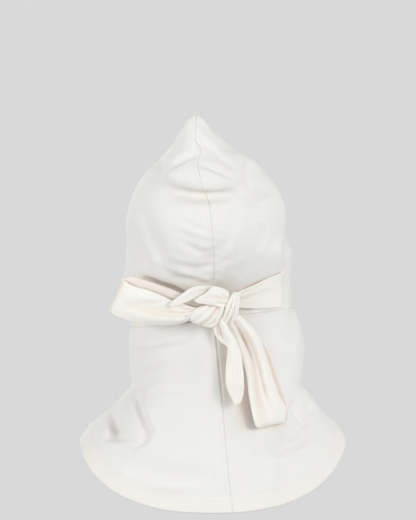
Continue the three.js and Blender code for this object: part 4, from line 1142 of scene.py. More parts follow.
# The dent that a row of stitches pulls in and the waves of its unevenness round the hem, and
# the thicker place where the back seam's allowance is turned up with the hem
PUCKER_DEPTH = 0.25
PUCKER_CHANGE = 0.05
PUCKER_REACH = 0.9
PUCKER_WAVES = (71, 43)
ALLOWANCE_HEIGHT = 0.35
ALLOWANCE_REACH = 6.5
ALLOWANCE_TOP = 17.5


def read_line(run, line, at):
    """Points, or other threes of numbers, of a line at runs along it."""
    return np.stack([np.interp(at, run, line[:, k]) for k in range(3)], -1)


class HemFace:
    """The hem's outer face as a grid that goes on from the yoke's."""

    def __init__(self):
        seam = float((back_turn(1, HEM_LEVEL) + back_turn(-1, HEM_LEVEL)) / 2)
        self.turn = seam + 2 * math.pi * np.arange(HEM_COLUMNS) / HEM_COLUMNS
        turn, above = np.meshgrid(self.turn, np.linspace(HEM_DEPTH, 0, HEM_ROWS))
        level = HEM_LEVEL + (hem_top(turn) - HEM_LEVEL) * above / HEM_DEPTH
        points = surface(turn, level)
        run = run_along(np.concatenate([points, points[:, :1]], axis=1), 1)
        to_left, to_right = run[:, :-1], run[:, -1:] - run[:, :-1]
        height = wrinkles(turn, points)
        height += seam_relief(to_left, BACK_RIDGE[1]) + seam_relief(to_right, BACK_RIDGE[-1])
        short, long = PUCKER_WAVES
        uneven = np.sin(turn * short) * np.sin(turn * long + 1)
        pucker = PUCKER_DEPTH + PUCKER_CHANGE * uneven
        for row in STITCH_ROWS:
            height -= pucker * np.exp(-(((above - row) / PUCKER_REACH) ** 2))
        allowance = np.exp(-((np.minimum(to_left, to_right) / ALLOWANCE_REACH) ** 8))
        height += ALLOWANCE_HEIGHT * allowance * np.exp(-((above / ALLOWANCE_TOP) ** 8))
        self.points = points + self.normals_of(points)[0] * height[..., None]
        self.normals, self.down = self.normals_of(self.points)
        self.run = run[:, :-1]

    def normals_of(self, points):
        """A grid's unit normals and its directions down."""
        wrapped = np.concatenate([points[:, -1:], points, points[:, :1]], axis=1)
        down = np.gradient(points, axis=0)
        return outward(grid_normals(wrapped)[:, 1:-1], self.turn), unit(down)

    def read(self, grid, above, at):
        """A grid's values at a distance above the edge and at runs along that row."""
        row = (HEM_DEPTH - above) / HEM_DEPTH * (HEM_ROWS - 1)
        first = min(int(row), HEM_ROWS - 2)
        line = lerp(grid[first], grid[first + 1], row - first)
        run = lerp(self.run[first], self.run[first + 1], row - first)
        return read_line(run, line, at)


def build_hem(face, cloth, material):
    """The hem: the outer face, its turn at the lower edge, and the inner face."""
    outer = face.points
    inner = outer - face.normals * cloth
    angle = np.linspace(0, math.pi, HEM_FOLD_STEPS + 1)[1:-1][:, None, None]
    middle = (outer[-1] + inner[-1]) / 2
    out = (outer[-1] - inner[-1]) / 2
    fold = middle + out * np.cos(angle) + face.down[-1] * cloth / 2 * np.sin(angle)
    ring = np.concatenate([outer, fold, inner[::-1]])
    rows, columns = ring.shape[:2]
    first = np.arange(columns)
    rims = np.concatenate([first, first + (rows - 1) * columns])
    faces = hoop_faces(rows, columns)
    return new_mesh("jersey_hem", ring, faces, cloth_places(ring), material, rims)


# Points round a stitch and along it, and where it starts, has its middle and ends, as shares of
# the distance between stitches
STITCH_SIDES = 6
STITCH_RINGS = 5
STITCH_START, STITCH_MIDDLE, STITCH_END = 0.08, 0.46, 0.84


def stitch_mesh(name, starts, ends, outs, radius, material):
    """Stitches as short rounded lengths of thread between pairs of points, sunk into the cloth
    at both ends."""
    sides, rings = STITCH_SIDES, STITCH_RINGS
    along = unit(ends - starts)
    across = unit(np.cross(along, outs))
    angle = np.arange(sides) / sides * 2 * math.pi
    place = np.linspace(0, 1, rings)
    wide = radius * np.sqrt(np.maximum(1 - (2 * place - 1) ** 4, 0.03))
    sink = radius * (0.3 + 0.9 * (2 * place - 1) ** 2)
    points = (
        starts[:, None, None] + (ends - starts)[:, None, None] * place[:, None, None]
        + across[:, None, None] * (np.cos(angle)[None, :] * wide[:, None])[..., None]
        + outs[:, None, None] * (np.sin(angle)[None, :] * wide[:, None] - sink[:, None])[..., None]
    )
    count = len(starts)
    size = sides * rings
    firsts = np.arange(count) * size
    faces = [(grid_faces(rings, sides, ring=True)[None] + firsts[:, None, None]).reshape(-1, 4)]
    for first in (0, (rings - 1) * sides):
        for quad in ([0, 1, 2, 3], [0, 3, 4, 5]):
            quad = np.array(quad if first else quad[::-1]) + first
            faces.append(quad[None] + firsts[:, None])
    places = np.zeros((count * size, 2))
    return new_mesh(name, points, np.concatenate(faces), places, material)


def build_hem_stitches(face, pitch, radius, material):
    """Two rows of twin-needle stitches round the hem."""
    starts, ends, outs = [], [], []
    for above in STITCH_ROWS:
        count = int(face.run[0, -1] // pitch)
        stitch = np.arange(count)
        starts.append(face.read(face.points, above, (stitch + STITCH_START) * pitch))
        ends.append(face.read(face.points, above, (stitch + STITCH_END) * pitch))
        outs.append(unit(face.read(face.normals, above, (stitch + STITCH_MIDDLE) * pitch)))
    lists = [np.concatenate(found) for found in (starts, ends, outs)]
    return stitch_mesh("hem_stitches", *lists, radius, material)


# Points round the face opening and round the binding's own section, how far its middle is sunk
# into the hood as a share of its thickness, how full its section is, from 1 for an ellipse to
# less for a squarer one, and its fine ribs
BINDING_STEPS = 260
BINDING_SIDES = 16
BINDING_SINK = 0.2
BINDING_FULLNESS = 0.7
RIB_HEIGHT = 0.05
RIB_COUNT = 130


def build_binding(material):
    """The bound edge of the face opening, a flat tube of cloth round it."""
    angle = np.arange(BINDING_STEPS) / BINDING_STEPS * 2 * math.pi
    turn_round = np.arange(BINDING_SIDES) / BINDING_SIDES * 2 * math.pi
    inset = 0.5 - 0.5 * np.cos(turn_round)
    height = -BINDING_SINK + 0.5 * signed_power(np.sin(turn_round), BINDING_FULLNESS)
    angle, inset = np.meshgrid(angle, inset, indexing="ij")
    side = np.where(np.sin(angle) >= 0, 1, -1)
    fair = np.where(side > 0, angle, 2 * math.pi - angle)
    turn, level = face_edge(side, fair, SEAM_GAP + inset * BINDING_WIDTH)
    ribs = RIB_HEIGHT * np.sin(angle * RIB_COUNT)
    points = off_surface(turn, level, height[None, :] * BINDING_THICKNESS + ribs)
    faces = hoop_faces(*points.shape[:2])
    return new_mesh("jersey_face_binding", points, faces, cloth_places(points), material)


HEIGHTS = ("h0", "h1", "h2", "h3", "h4")


def across_heights(rows, share):
    """Heights between a row's two edges, smooth through those in the table."""
    values = np.stack([rows[name] for name in HEIGHTS])
    last = len(HEIGHTS) - 1
    place = np.clip(share * last, 0, last)
    start = np.minimum(place.astype(int), last - 1)
    t = (place - start)[:, None]
    before, after = np.maximum(start - 1, 0), np.minimum(start + 2, last)
    p0, p1, p2, p3 = values[before], values[start], values[start + 1], values[after]
    bend = 2 * p0 - 5 * p1 + 4 * p2 - p3
    twist = -p0 + 3 * p1 - 3 * p2 + p3
    return (p1 + 0.5 * t * ((p2 - p0) + t * (bend + t * twist))).T


def there_and_back(grid):
    """A grid's columns in order and then in reverse, for a wall's two faces."""
    return np.concatenate([grid, grid[:, ::-1]], axis=1)


def ribbon_shell(middles, cloth, painted_shade):
    """A closed ribbon round a grid of middle points, as its points, quads, places on the cloth
    and shares of painted shade."""
    rows, columns = middles.shape[:2]
    normals = grid_normals(middles)
    edge = np.abs(np.linspace(-1, 1, columns))
    half = cloth / 2 * np.sqrt(np.maximum(1 - edge**10, 0.02))[None, :, None]
    outer = middles + normals * half
    inner = middles - normals * half
    ring = np.concatenate([outer, inner[:, ::-1]], axis=1)
    places = there_and_back(cloth_places(middles))
    faces = tube_faces(rows, 2 * columns)
    return ring.reshape(-1, 3), faces, places.reshape(-1, 2), there_and_back(painted_shade).ravel()


def join_shells(shells):
    """Several closed shells as the parts of one mesh."""
    points, faces, places, painted_shade = zip(*shells)
    firsts = np.cumsum([0] + [len(part) for part in points[:-1]])
    faces = [quads + first for quads, first in zip(faces, firsts)]
    return [np.concatenate(parts) for parts in (points, faces, places, painted_shade)]


# Steps between two rows of a ribbon's or a roll's table, and points across a ribbon with how much
# they crowd at its edges
ROW_STEPS = 12
RIBBON_COLUMNS = 33
EDGE_CROWDING = 0.6


def table_steps(rows):
    """A table's rows with smooth steps between them."""
    keyed = numbered(rows)
    last = keyed["step"][-1]
    return read_table(keyed, "step", np.linspace(0, last, int(last) * ROW_STEPS + 1))


class BackOfHood:
    """Where the bow meets the hood: maps of its back, and the knot's place on it."""

    def __init__(self):
        self.folded = BackMap(surface)
        self.plain = BackMap(plain_surface)
        x, z = np.array([[KNOT_OFFSET]]), np.array([[-KNOT_DROP]], float)
        self.knot = float(back_face(x, z, surface)[0, 0])

    def keep_off(self, x, y, z, gap):
        """y moved back where it is, smoothly, so that it stays a gap off the hood."""
        least = self.folded.read(x, z) + gap
        over = y - least
        return least + 0.5 * (over + np.sqrt(over**2 + 1.0))


@functools.lru_cache
def back_of_hood():
    """The hood's back, worked out once for all the bow's pieces."""
    return BackOfHood()


# The soft unevenness of the ties
RIPPLE_HEIGHT = 0.25
RIPPLE_LENGTH = 31


def cloth_ripple(middles):
    """Small soft unevenness along a tie, strongest in its middle."""
    share = np.linspace(0, 1, middles.shape[1])[None, :]
    run = run_along(middles, 0) / RIPPLE_LENGTH
    wave = np.sin(2 * math.pi * (run + 0.3 * np.sin(run * 2.1)) + 5 * share)
    return RIPPLE_HEIGHT * wave * np.sin(math.pi * share) ** 0.5


def pleat_height(steps, share, pleats):
    """Height of lengthwise pleats at a ribbon's steps and shares of its width."""
    row = steps["step"][:, None]
    height = np.zeros((len(steps["step"]), len(share)))
    for row0, share0, row1, share1, width, depth, kind in pleats:
        t = (row - row0) / (row1 - row0)
        taper = np.sqrt(np.sin(math.pi * np.clip(t, 0, 1)))
        gap = np.abs(share[None, :] - lerp(share0, share1, t)) / width
        height += depth * taper * PROFILES[kind](gap, True)
    return height


# Painted shade in the bottom of a pleat: its share for each millimetre of depth, and its most
PLEAT_PAINTED_SHADE = 0.22
PLEAT_PAINTED_SHADE_MOST = 0.5


def pleat_painted_shade(folded):
    return np.clip(-folded * PLEAT_PAINTED_SHADE, 0, PLEAT_PAINTED_SHADE_MOST)


def bow_ribbon(rows, hangs, cloth, pleats, inner_rows=0, inner_painted_shade=0.0):
    """A free ribbon of the bow, which never goes into the hood behind it. hangs: whether its
    heights start from the hood behind it, and not from the knot's place. inner_rows: how many
    of its first rows are a loop's inner layer, which gets painted shade as well as its pleats."""
    back = back_of_hood()
    steps = table_steps(rows)
    share = crowded(RIBBON_COLUMNS, EDGE_CROWDING)
    x = lerp(steps["xa"][:, None], steps["xb"][:, None], share)
    z = lerp(steps["za"][:, None], steps["zb"][:, None], share)
    rest = back.plain.read(x, z) if hangs else back.knot
    folded = pleat_height(steps, share, pleats)
    y = rest + across_heights(steps, share) + folded
    y = back.keep_off(x, y, z, TIE_CLEARANCE + cloth)
    middles = np.stack([x, y, z], -1)
    middles += grid_normals(middles) * cloth_ripple(middles)[..., None]
    # Painted shade on the loop's inner layer and in the bottoms of its pleats
    inner = np.clip((inner_rows - steps["step"]) * 2 + 0.5, 0, 1)[:, None]
    painted_shade = np.minimum(pleat_painted_shade(folded) + inner_painted_shade * inner, 1)
    return ribbon_shell(middles, cloth, painted_shade)


# Rows of stitches across a tie's end, by their distance from it, the space that each leaves
# beside the tie's edges, and the groove that the first one pulls in
END_STITCH_ROWS = (2.6, 7.2)
END_STITCH_MARGIN = 1
END_GROOVE_DEPTH = 0.3
END_GROOVE_REACH = 0.8


def band_end_stitches(name, middles, normals, cloth, pitch, radius, material):
    """Two rows of stitches across a tie's stitched end."""
    to_end = -run_along(middles[::-1], 0)[::-1]
    columns = range(middles.shape[1])
    starts, ends, outs = [], [], []
    for inset in END_STITCH_ROWS:
        line, lift = (
            np.concatenate([read_line(to_end[:, c], grid[:, c], [-inset]) for c in columns])
            for grid in (middles, normals)
        )
        run = run_along(line, 0)
        stitch = np.arange(int((run[-1] - 2 * END_STITCH_MARGIN) // pitch))
        for share, found in ((STITCH_START, starts), (STITCH_END, ends)):
            at = END_STITCH_MARGIN + (stitch + share) * pitch
            found.append(read_line(run, line, at) + read_line(run, lift, at) * cloth / 2)
        outs.append(read_line(run, lift, END_STITCH_MARGIN + (stitch + STITCH_MIDDLE) * pitch))
    lists = [np.concatenate(found) for found in (starts, ends, outs)]
    return stitch_mesh(name, *lists, radius, material)


# Painted shade on the ties on the hood by side: the loop's shadow on the wearer's left one is
# painted in
BAND_PAINTED_SHADE = {1: 0.15, -1: 0.0}


def band_middles(rows, side, cloth):
    """Middle points of a tie that lies on the hood from the knot to its stitched end, and
    their shares of painted shade."""
    steps = table_steps(rows)
    share = crowded(RIBBON_COLUMNS, EDGE_CROWDING)
    along = steps["along"][:, None] + steps["skew"][:, None] * (1 - share)
    turn = side * along * math.radians(ANCHOR_TURN[side])
    level = -KNOT_DROP + lerp(steps["high"][:, None], steps["low"][:, None], share) * TIE_WIDTH
    folded = pleat_height(steps, share, BAND_PLEATS[side])
    height = np.maximum(across_heights(steps, share) + folded, 0) + TIE_CLEARANCE + cloth / 2
    run = turn * HALF_BREADTH
    from_stitches = np.abs(run[-1:] - run) - END_STITCH_ROWS[0]
    height -= END_GROOVE_DEPTH * np.exp(-((from_stitches / END_GROOVE_REACH) ** 2))
    # Painted shade in the pleats, and the loop's painted shadow on the left tie
    painted_shade = np.minimum(pleat_painted_shade(folded) + BAND_PAINTED_SHADE[side], 1)
    return off_surface(turn, level, height), painted_shade


# Points round a roll, how full its section is, from 1 for an ellipse to less for a squarer one,
# and the painted shade in its pleats for each share of depth, and its most
ROLL_SIDES = 64
ROLL_FULLNESS = 0.9
ROLL_PAINTED_SHADE = 4
ROLL_PAINTED_SHADE_MOST = 0.6


def knot_roll(rows, pleats=()):
    """A rolled length of cloth through the knot, as a closed shell."""
    back = back_of_hood()
    steps = table_steps(rows)
    x, z = steps["x"], steps["z"]
    least = back.folded.read(x, z) + steps["deep"] / 2 + TIE_CLEARANCE
    y = np.maximum(back.knot + steps["out"], least)
    middles = np.stack([x, y, z], -1)
    forward = unit(np.gradient(middles, axis=0))
    across = unit(np.cross(np.array([0.0, 1.0, 0.0]), forward))
    out = np.cross(forward, across)
    angle = np.arange(ROLL_SIDES) / ROLL_SIDES * 2 * math.pi
    wide = steps["wide"][:, None] / 2 * signed_power(np.cos(angle), ROLL_FULLNESS)
    deep = steps["deep"][:, None] / 2 * signed_power(np.sin(angle), ROLL_FULLNESS)
    folded = np.zeros((len(x), ROLL_SIDES))
    for row0, place0, row1, place1, depth, width in pleats:
        t = (steps["step"] - row0) / (row1 - row0)
        taper = np.sqrt(np.sin(math.pi * np.clip(t, 0, 1)))[:, None]
        gap = (angle / (2 * math.pi) - lerp(place0, place1, t)[:, None] + 0.5) % 1 - 0.5
        folded -= depth * taper * crease_profile(np.abs(gap) / width, True)
    points = (
        middles[:, None] + across[:, None] * (wide * (1 + folded))[..., None]
        + out[:, None] * (deep * (1 + folded))[..., None]
    )
    # Painted shade in the bottoms of the roll's pleats
    painted_shade = np.clip(-folded * ROLL_PAINTED_SHADE, 0, ROLL_PAINTED_SHADE_MOST)
    faces = tube_faces(len(x), ROLL_SIDES)
    return points.reshape(-1, 3), faces, cloth_places(points).reshape(-1, 2), painted_shade.ravel()


def tie_piece(name, *shells):
    """One piece of the ties' cloth from closed shells."""
    points, faces, places, painted_shade = join_shells(shells)
    return new_mesh(name, points, faces, places, cap_material("tie_cloth"), painted_shade=painted_shade)


def material_nodes(name, colour, roughness):
    material = bpy.data.materials.new(name)
    material.use_nodes = True
    tree = material.node_tree
    shader = tree.nodes["Principled BSDF"]
    shader.inputs["Base Color"].default_value = (*colour, 1)
    shader.inputs["Roughness"].default_value = roughness
    return material, tree, shader


def math_node(tree, operation, first, second=None):
    """One step of arithmetic in a material, on values or on other nodes' outputs."""
    node = tree.nodes.new("ShaderNodeMath")
    node.operation = operation
    for socket, value in zip(node.inputs, (first, second)):
        if value is None:
            continue
        if isinstance(value, (int, float)):
            socket.default_value = value
        else:
            tree.links.new(value, socket)
    return node.outputs[0]


# A knit stitch: its height for its width, how far its two legs lean, and how much the loops
# stand out beside the columns
STITCH_SHAPE = 0.8
STITCH_LEAN = 1.1
LOOP_SHARE = 0.35


def knit_height(tree, pitch):
    """Columns of small leaning stitches, from the cloth's own flat places."""
    place = tree.nodes.new("ShaderNodeUVMap")
    place.uv_map = "cloth"
    parts = tree.nodes.new("ShaderNodeSeparateXYZ")
    tree.links.new(place.outputs["UV"], parts.inputs[0])
    across = math_node(tree, "MULTIPLY", parts.outputs[0], 1 / pitch)
    along = math_node(tree, "MULTIPLY", parts.outputs[1], 1 / (pitch * STITCH_SHAPE))
    lean = math_node(tree, "PINGPONG", across, 0.5)
    stitch = math_node(tree, "ADD", along, math_node(tree, "MULTIPLY", lean, STITCH_LEAN))
    loops = math_node(tree, "SINE", math_node(tree, "MULTIPLY", stitch, 2 * math.pi))
    wales = math_node(tree, "SINE", math_node(tree, "MULTIPLY", lean, 2 * math.pi))
    return math_node(tree, "ADD", math_node(tree, "MULTIPLY", loops, LOOP_SHARE), wales)


def noise(tree, place, scale, detail=2.0):
    node = tree.nodes.new("ShaderNodeTexNoise")
    node.inputs["Scale"].default_value = scale
    node.inputs["Detail"].default_value = detail
    tree.links.new(place, node.inputs["Vector"])
    return node.outputs["Fac"]


JERSEY_ROUGHNESS = 0.92
THREAD_ROUGHNESS = 0.7
JERSEY_FINISH = {"Sheen Weight": 0.12, "Sheen Roughness": 0.6, "Specular IOR Level": 0.15}

# Soft patches of two tones: their scale and detail, and the stretch over which they blend
PATCH_SCALE = 14
PATCH_DETAIL = 3
PATCH_BLEND = (0.35, 0.65)

# Painted shade in narrow places: how open a place is that keeps the cloth's own tone, how
# quickly the painted shade tone takes over where it is narrower, and the samples that find it
OPEN_PLACE = 0.8
PAINTED_SHADE_GAIN = 1.1
NARROW_SAMPLES = 8

# The nap: its scale, its height beside the knit's, and the strength of both
NAP_SCALE = 900
NAP_SHARE = 0.8
RELIEF_STRENGTH = 0.25


def patch_colour(tree, place, light, shade):
    """Two close tones of jersey in soft patches."""
    ramp = tree.nodes.new("ShaderNodeValToRGB")
    for element, position, tone in zip(ramp.color_ramp.elements, PATCH_BLEND, (shade, light)):
        element.position = position
        element.color = (*tone, 1)
    tree.links.new(noise(tree, place, PATCH_SCALE, PATCH_DETAIL), ramp.inputs["Fac"])
    return ramp.outputs["Color"]


def painted_shade_share(tree, reach):
    """Share of painted shade: the piece's own painted mask, and more where an occlusion node finds
    a narrow place.
    """
    narrow = tree.nodes.new("ShaderNodeAmbientOcclusion")
    narrow.samples = NARROW_SAMPLES
    narrow.inputs["Distance"].default_value = reach
    given = tree.nodes.new("ShaderNodeAttribute")
    given.attribute_name = "painted_shade"
    closed = math_node(tree, "SUBTRACT", OPEN_PLACE, narrow.outputs["AO"])
    closed = math_node(tree, "MAXIMUM", closed, 0.0)
    closed = math_node(tree, "MULTIPLY", closed, PAINTED_SHADE_GAIN)
    share = math_node(tree, "ADD", closed, given.outputs["Fac"])
    return math_node(tree, "MINIMUM", share, 1.0)


def jersey_material(name, light, shade, painted_shade_colour, reach, sizes):
    """Matt jersey: two close tones in soft patches, a painted shade colour mixed in where shade
    falls in its inner parts and narrow places, knit relief and a faint nap."""
    material, tree, shader = material_nodes(name, light, JERSEY_ROUGHNESS)
    place = tree.nodes.new("ShaderNodeTexCoord").outputs["Object"]
    # Painted shade: the patch colour is mixed towards the painted shade colour by the share below
    tones = tree.nodes.new("ShaderNodeMix")
    tones.data_type = "RGBA"
    sockets = {item.identifier: item for item in (*tones.inputs, *tones.outputs)}
    sockets["B_Color"].default_value = (*painted_shade_colour, 1)
    tree.links.new(painted_shade_share(tree, reach), sockets["Factor_Float"])
    tree.links.new(patch_colour(tree, place, light, shade), sockets["A_Color"])
    tree.links.new(sockets["Result_Color"], shader.inputs["Base Color"])
    nap = math_node(tree, "MULTIPLY", noise(tree, place, NAP_SCALE), NAP_SHARE)
    height = math_node(tree, "ADD", knit_height(tree, sizes.knit_pitch), nap)
    bump = tree.nodes.new("ShaderNodeBump")
    bump.inputs["Strength"].default_value = RELIEF_STRENGTH
    bump.inputs["Distance"].default_value = sizes.knit_relief
    tree.links.new(height, bump.inputs["Height"])
    tree.links.new(bump.outputs["Normal"], shader.inputs["Normal"])
    for socket, value in JERSEY_FINISH.items():
        shader.inputs[socket].default_value = value
    return material


def cap_material(name):
    """A cap material, made once from the colours in the sidebar. The last value of a cloth is
    how far round a place counts as narrow for its painted shade, in metres."""
    if name in bpy.data.materials:
        return bpy.data.materials[name]
    tones = bpy.context.scene.cap_colours
    sizes = bpy.context.scene.cap_sizes
    if name == "thread_cotton":
        return material_nodes(name, tuple(tones.thread), THREAD_ROUGHNESS)[0]
    # Each cloth's third colour is the painted shade that its narrow places and inner layers are
    # mixed towards
    light, shade, painted_shade_colour, reach = {
        "hood_jersey": (tones.jersey, tones.jersey_shade, tones.jersey_painted_shade, 0.03),
        "hem_jersey": (tones.hem, tones.hem_shade, tones.jersey_painted_shade, 0.015),
        "tie_cloth": (tones.tie, tones.tie_shade, tones.tie_painted_shade, 0.01),
    }[name]
    return jersey_material(name, tuple(light), tuple(shade), tuple(painted_shade_colour), reach, sizes)


def length_property(name, description, default, low, high):
    return bpy.props.FloatProperty(
        name=name, description=description, default=default, min=low, max=high,
        unit="LENGTH", precision=5,
    )


def colour_property(name, description, default):
    return bpy.props.FloatVectorProperty(
        name=name, description=description, default=default, size=3, subtype="COLOR",
        min=0.0, max=1.0,
    )


class CapSizes(bpy.types.PropertyGroup):
    """Sizes of the cloth and its sewing."""

    cloth_thickness: length_property(
        "Cloth thickness", "Thickness of the hood's jersey", 0.0012, 0.0006, 0.003,
    )
    hem_thickness: length_property(
        "Hem thickness", "Thickness of the turned-up hem", 0.0024, 0.001, 0.005,
    )
    tie_thickness: length_property(
        "Tie thickness", "Thickness of the ties' two layers", 0.0018, 0.001, 0.004,
    )
    knit_pitch: length_property(
        "Knit pitch", "Distance between the jersey's columns of stitches", 0.0009, 0.0003, 0.003,
    )
    knit_relief: length_property(
        "Knit relief", "Height of the jersey's stitches", 0.00012, 0.0, 0.001,
    )
    stitch_length: length_property(
        "Stitch length", "Length of a sewn stitch with its gap", 0.0032, 0.002, 0.006,
    )
    thread_thickness: length_property(
        "Thread thickness", "Thickness of the sewing thread", 0.0006, 0.0003, 0.0012,
    )


class CapColours(bpy.types.PropertyGroup):
    """Colours of the jersey, the thread and the stage."""

    jersey: colour_property("Jersey", "The hood's off-white jersey", (0.89, 0.884, 0.866))
    jersey_shade: colour_property("Jersey shade", "Its darker patches", (0.875, 0.867, 0.843))
    # Painted shade: the colour that the jersey is mixed towards in narrow places and under the
    # ties' ends
    jersey_painted_shade: colour_property("Jersey hidden", "Its narrow places", (0.86, 0.76, 0.67))
    hem: colour_property("Hem", "The hem's and binding's jersey", (0.91, 0.895, 0.86))
    hem_shade: colour_property("Hem shade", "Their darker patches", (0.9, 0.88, 0.835))
    tie: colour_property("Tie", "The ties' warm jersey", (0.95, 0.935, 0.89))
    tie_shade: colour_property("Tie shade", "Their darker patches", (0.94, 0.915, 0.86))
    # Painted shade: the colour that the ties are mixed towards in their inner layers, creases and
    # narrow places
    tie_painted_shade: colour_property("Tie hidden", "Their inner layers and creases", (0.84, 0.7, 0.6))
    thread: colour_property("Thread", "The sewing thread", (0.86, 0.83, 0.78))
    backdrop: colour_property("Backdrop", "The pale background", (0.694, 0.694, 0.694))
    ceiling: colour_property("Ceiling", "The background overhead", (0.34, 0.34, 0.34))
    ground: colour_property("Ground", "The background below", (0.4, 0.4, 0.395))


class CAP_OT_crown(bpy.types.Operator):
    """Builds the two crown panels, which meet at the centre-back seam"""

    bl_idname = "cap.crown"
    bl_label = "Crown panels"

    def execute(self, context):
        thickness = context.scene.cap_sizes.cloth_thickness / MM
        build_crown(thickness, cap_material("hood_jersey"))
        return {"FINISHED"}


class CAP_OT_yoke(bpy.types.Operator):
    """Builds the two yoke panels over the neck and shoulders"""

    bl_idname = "cap.yoke"
    bl_label = "Yoke panels"

    def execute(self, context):
        thickness = context.scene.cap_sizes.cloth_thickness / MM
        build_yoke(thickness, cap_material("hood_jersey"))
        return {"FINISHED"}


class CAP_OT_hem(bpy.types.Operator):
    """Builds the turned-up hem with its two rows of stitches"""

    bl_idname = "cap.hem"
    bl_label = "Hem"

    def execute(self, context):
        sizes = context.scene.cap_sizes
        face = HemFace()
        hem = build_hem(face, sizes.hem_thickness / MM, cap_material("hem_jersey"))
        pitch = sizes.stitch_length / MM
        radius = sizes.thread_thickness / MM / 2
        stitches = build_hem_stitches(face, pitch, radius, cap_material("thread_cotton"))
        sew_on(stitches)
        declare_sheet(hem, "hem_band")
        return {"FINISHED"}


class CAP_OT_binding(bpy.types.Operator):
    """Builds the binding round the face opening"""

    bl_idname = "cap.binding"
    bl_label = "Face binding"

    def execute(self, context):
        binding = build_binding(cap_material("hem_jersey"))
        declare_sheet(binding, "face_binding")
        return {"FINISHED"}


class CAP_OT_bands(bpy.types.Operator):
    """Builds the two ties where they lie on the hood"""

    bl_idname = "cap.bands"
    bl_label = "Tie bands"

    def execute(self, context):
        sizes = context.scene.cap_sizes
        thickness = sizes.tie_thickness / MM
        pitch = sizes.stitch_length / MM
        radius = sizes.thread_thickness / MM / 2
        for word, rows, length in (("left", BAND_LEFT, 0.1), ("right", BAND_RIGHT, 0.072)):
            name = f"tie_on_hood_{word}"
            middles, painted_shade = band_middles(rows, SIDES[word], thickness)
            piece = tie_piece(name, ribbon_shell(middles, thickness, painted_shade))
            out = grid_normals(middles)
            out *= np.sign(out[..., 1].sum())
            stitches = band_end_stitches(
                f"{name}_stitches", middles, out, thickness, pitch, radius,
                cap_material("thread_cotton"),
            )
            sew_on(stitches)
            declare_sheet(
                piece, f"tie_band_{word}",
            )
        return {"FINISHED"}


class CAP_OT_loops(bpy.types.Operator):
    """Builds the bow's two loops"""

    bl_idname = "cap.loops"
    bl_label = "Bow loops"

    def execute(self, context):
        thickness = context.scene.cap_sizes.tie_thickness / MM
        # The last but one value of each loop is the share of painted shade on its inner layer
        for node, rows, pleats, hangs, inner_shade_share, length in (
            ("bow_loop_left", LOOP_LEFT, LEFT_PLEATS, False, 0.3, 0.21),
            ("bow_loop_right", LOOP_RIGHT, RIGHT_PLEATS, True, 0.8, 0.25),
        ):
            shell = bow_ribbon(rows, hangs, thickness, pleats, LOOP_INNER_ROWS, inner_shade_share)
            piece = tie_piece(f"{node}_cloth", shell)
            declare_sheet(piece, node)
        return {"FINISHED"}


class CAP_OT_tails(bpy.types.Operator):
    """Builds the ties' two free ends"""

    bl_idname = "cap.tails"
    bl_label = "Tails"

    def execute(self, context):
        thickness = context.scene.cap_sizes.tie_thickness / MM
        leaf = bow_ribbon(TAIL_LONG, True, thickness, LEAF_PLEATS)
        long_tail = tie_piece("tie_tail_long_cloth", leaf)
        declare_sheet(long_tail, "tie_tail_long")
        strip = bow_ribbon(TAIL_SHORT, False, thickness, STRIP_PLEATS)
        flap = bow_ribbon(TAIL_SHORT_FRONT, False, thickness, FLAP_PLEATS)
        short_tail = tie_piece("tie_tail_short_cloth", strip, flap)
        declare_sheet(short_tail, "tie_tail_short")
        return {"FINISHED"}


class CAP_OT_knot(bpy.types.Operator):
    """Builds the knot and the turn of cloth that wraps it"""

    bl_idname = "cap.knot"
    bl_label = "Knot"

    def execute(self, context):
        thickness = context.scene.cap_sizes.tie_thickness / MM
        heart = knot_roll(KNOT_ROLL, KNOT_PLEATS)
        under = knot_roll(KNOT_UNDER, UNDER_PLEATS)
        turn = bow_ribbon(WRAP, False, thickness, WRAP_PLEATS)
        edge = knot_roll(WRAP_EDGE)
        for node, shells in (("bow_knot", (heart, under)), ("knot_wrap", (turn, edge))):
            piece = tie_piece(f"{node}_cloth", *shells)
            take_place(piece, node)
        return {"FINISHED"}


# The camera looks level at the back from far off, and these are metres, but the lens's
# millimetres
CAMERA_DISTANCE = 16.0
CAMERA_LENS = 1055.0
CAMERA_CENTRE = (0.0021, 0.0, -0.1155)

# Soft round lights: place, aim, size and power
LIGHTS = {
    "key": ((-1.95, 2.5, 0.5), (0, 0.05, -0.15), 1.1, 31),
    "left_fill": ((2.55, 1.45, 0.1), (0, 0.05, -0.15), 1.6, 28),
    "right_fill": ((-2.7, 1.2, 0.0), (0, 0.05, -0.15), 1.6, 7),
    "front_fill": ((0.6, -2.7, 0.6), (0, 0, -0.15), 1.8, 30),
    "overhead": ((-0.2, 0.4, 2.3), (0, 0.05, -0.1), 0.9, 9.5),
}

# Where the ground's tone ends, the horizon's begins and ends, and the ceiling's begins, from
# straight down at 0 to straight up at 1
BACKDROP_STOPS = (0.12, 0.46, 0.54, 0.88)


def soft_light(name, place, aim, size, power):
    data = bpy.data.lights.new(name, "AREA")
    data.shape = "DISK"
    data.size = size
    data.energy = power
    lamp = bpy.data.objects.new(name, data)
    lamp.location = place
    lamp.rotation_euler = (Vector(aim) - Vector(place)).to_track_quat("-Z", "Y").to_euler()
    lamp.visible_camera = False
    link_to_scene(lamp)


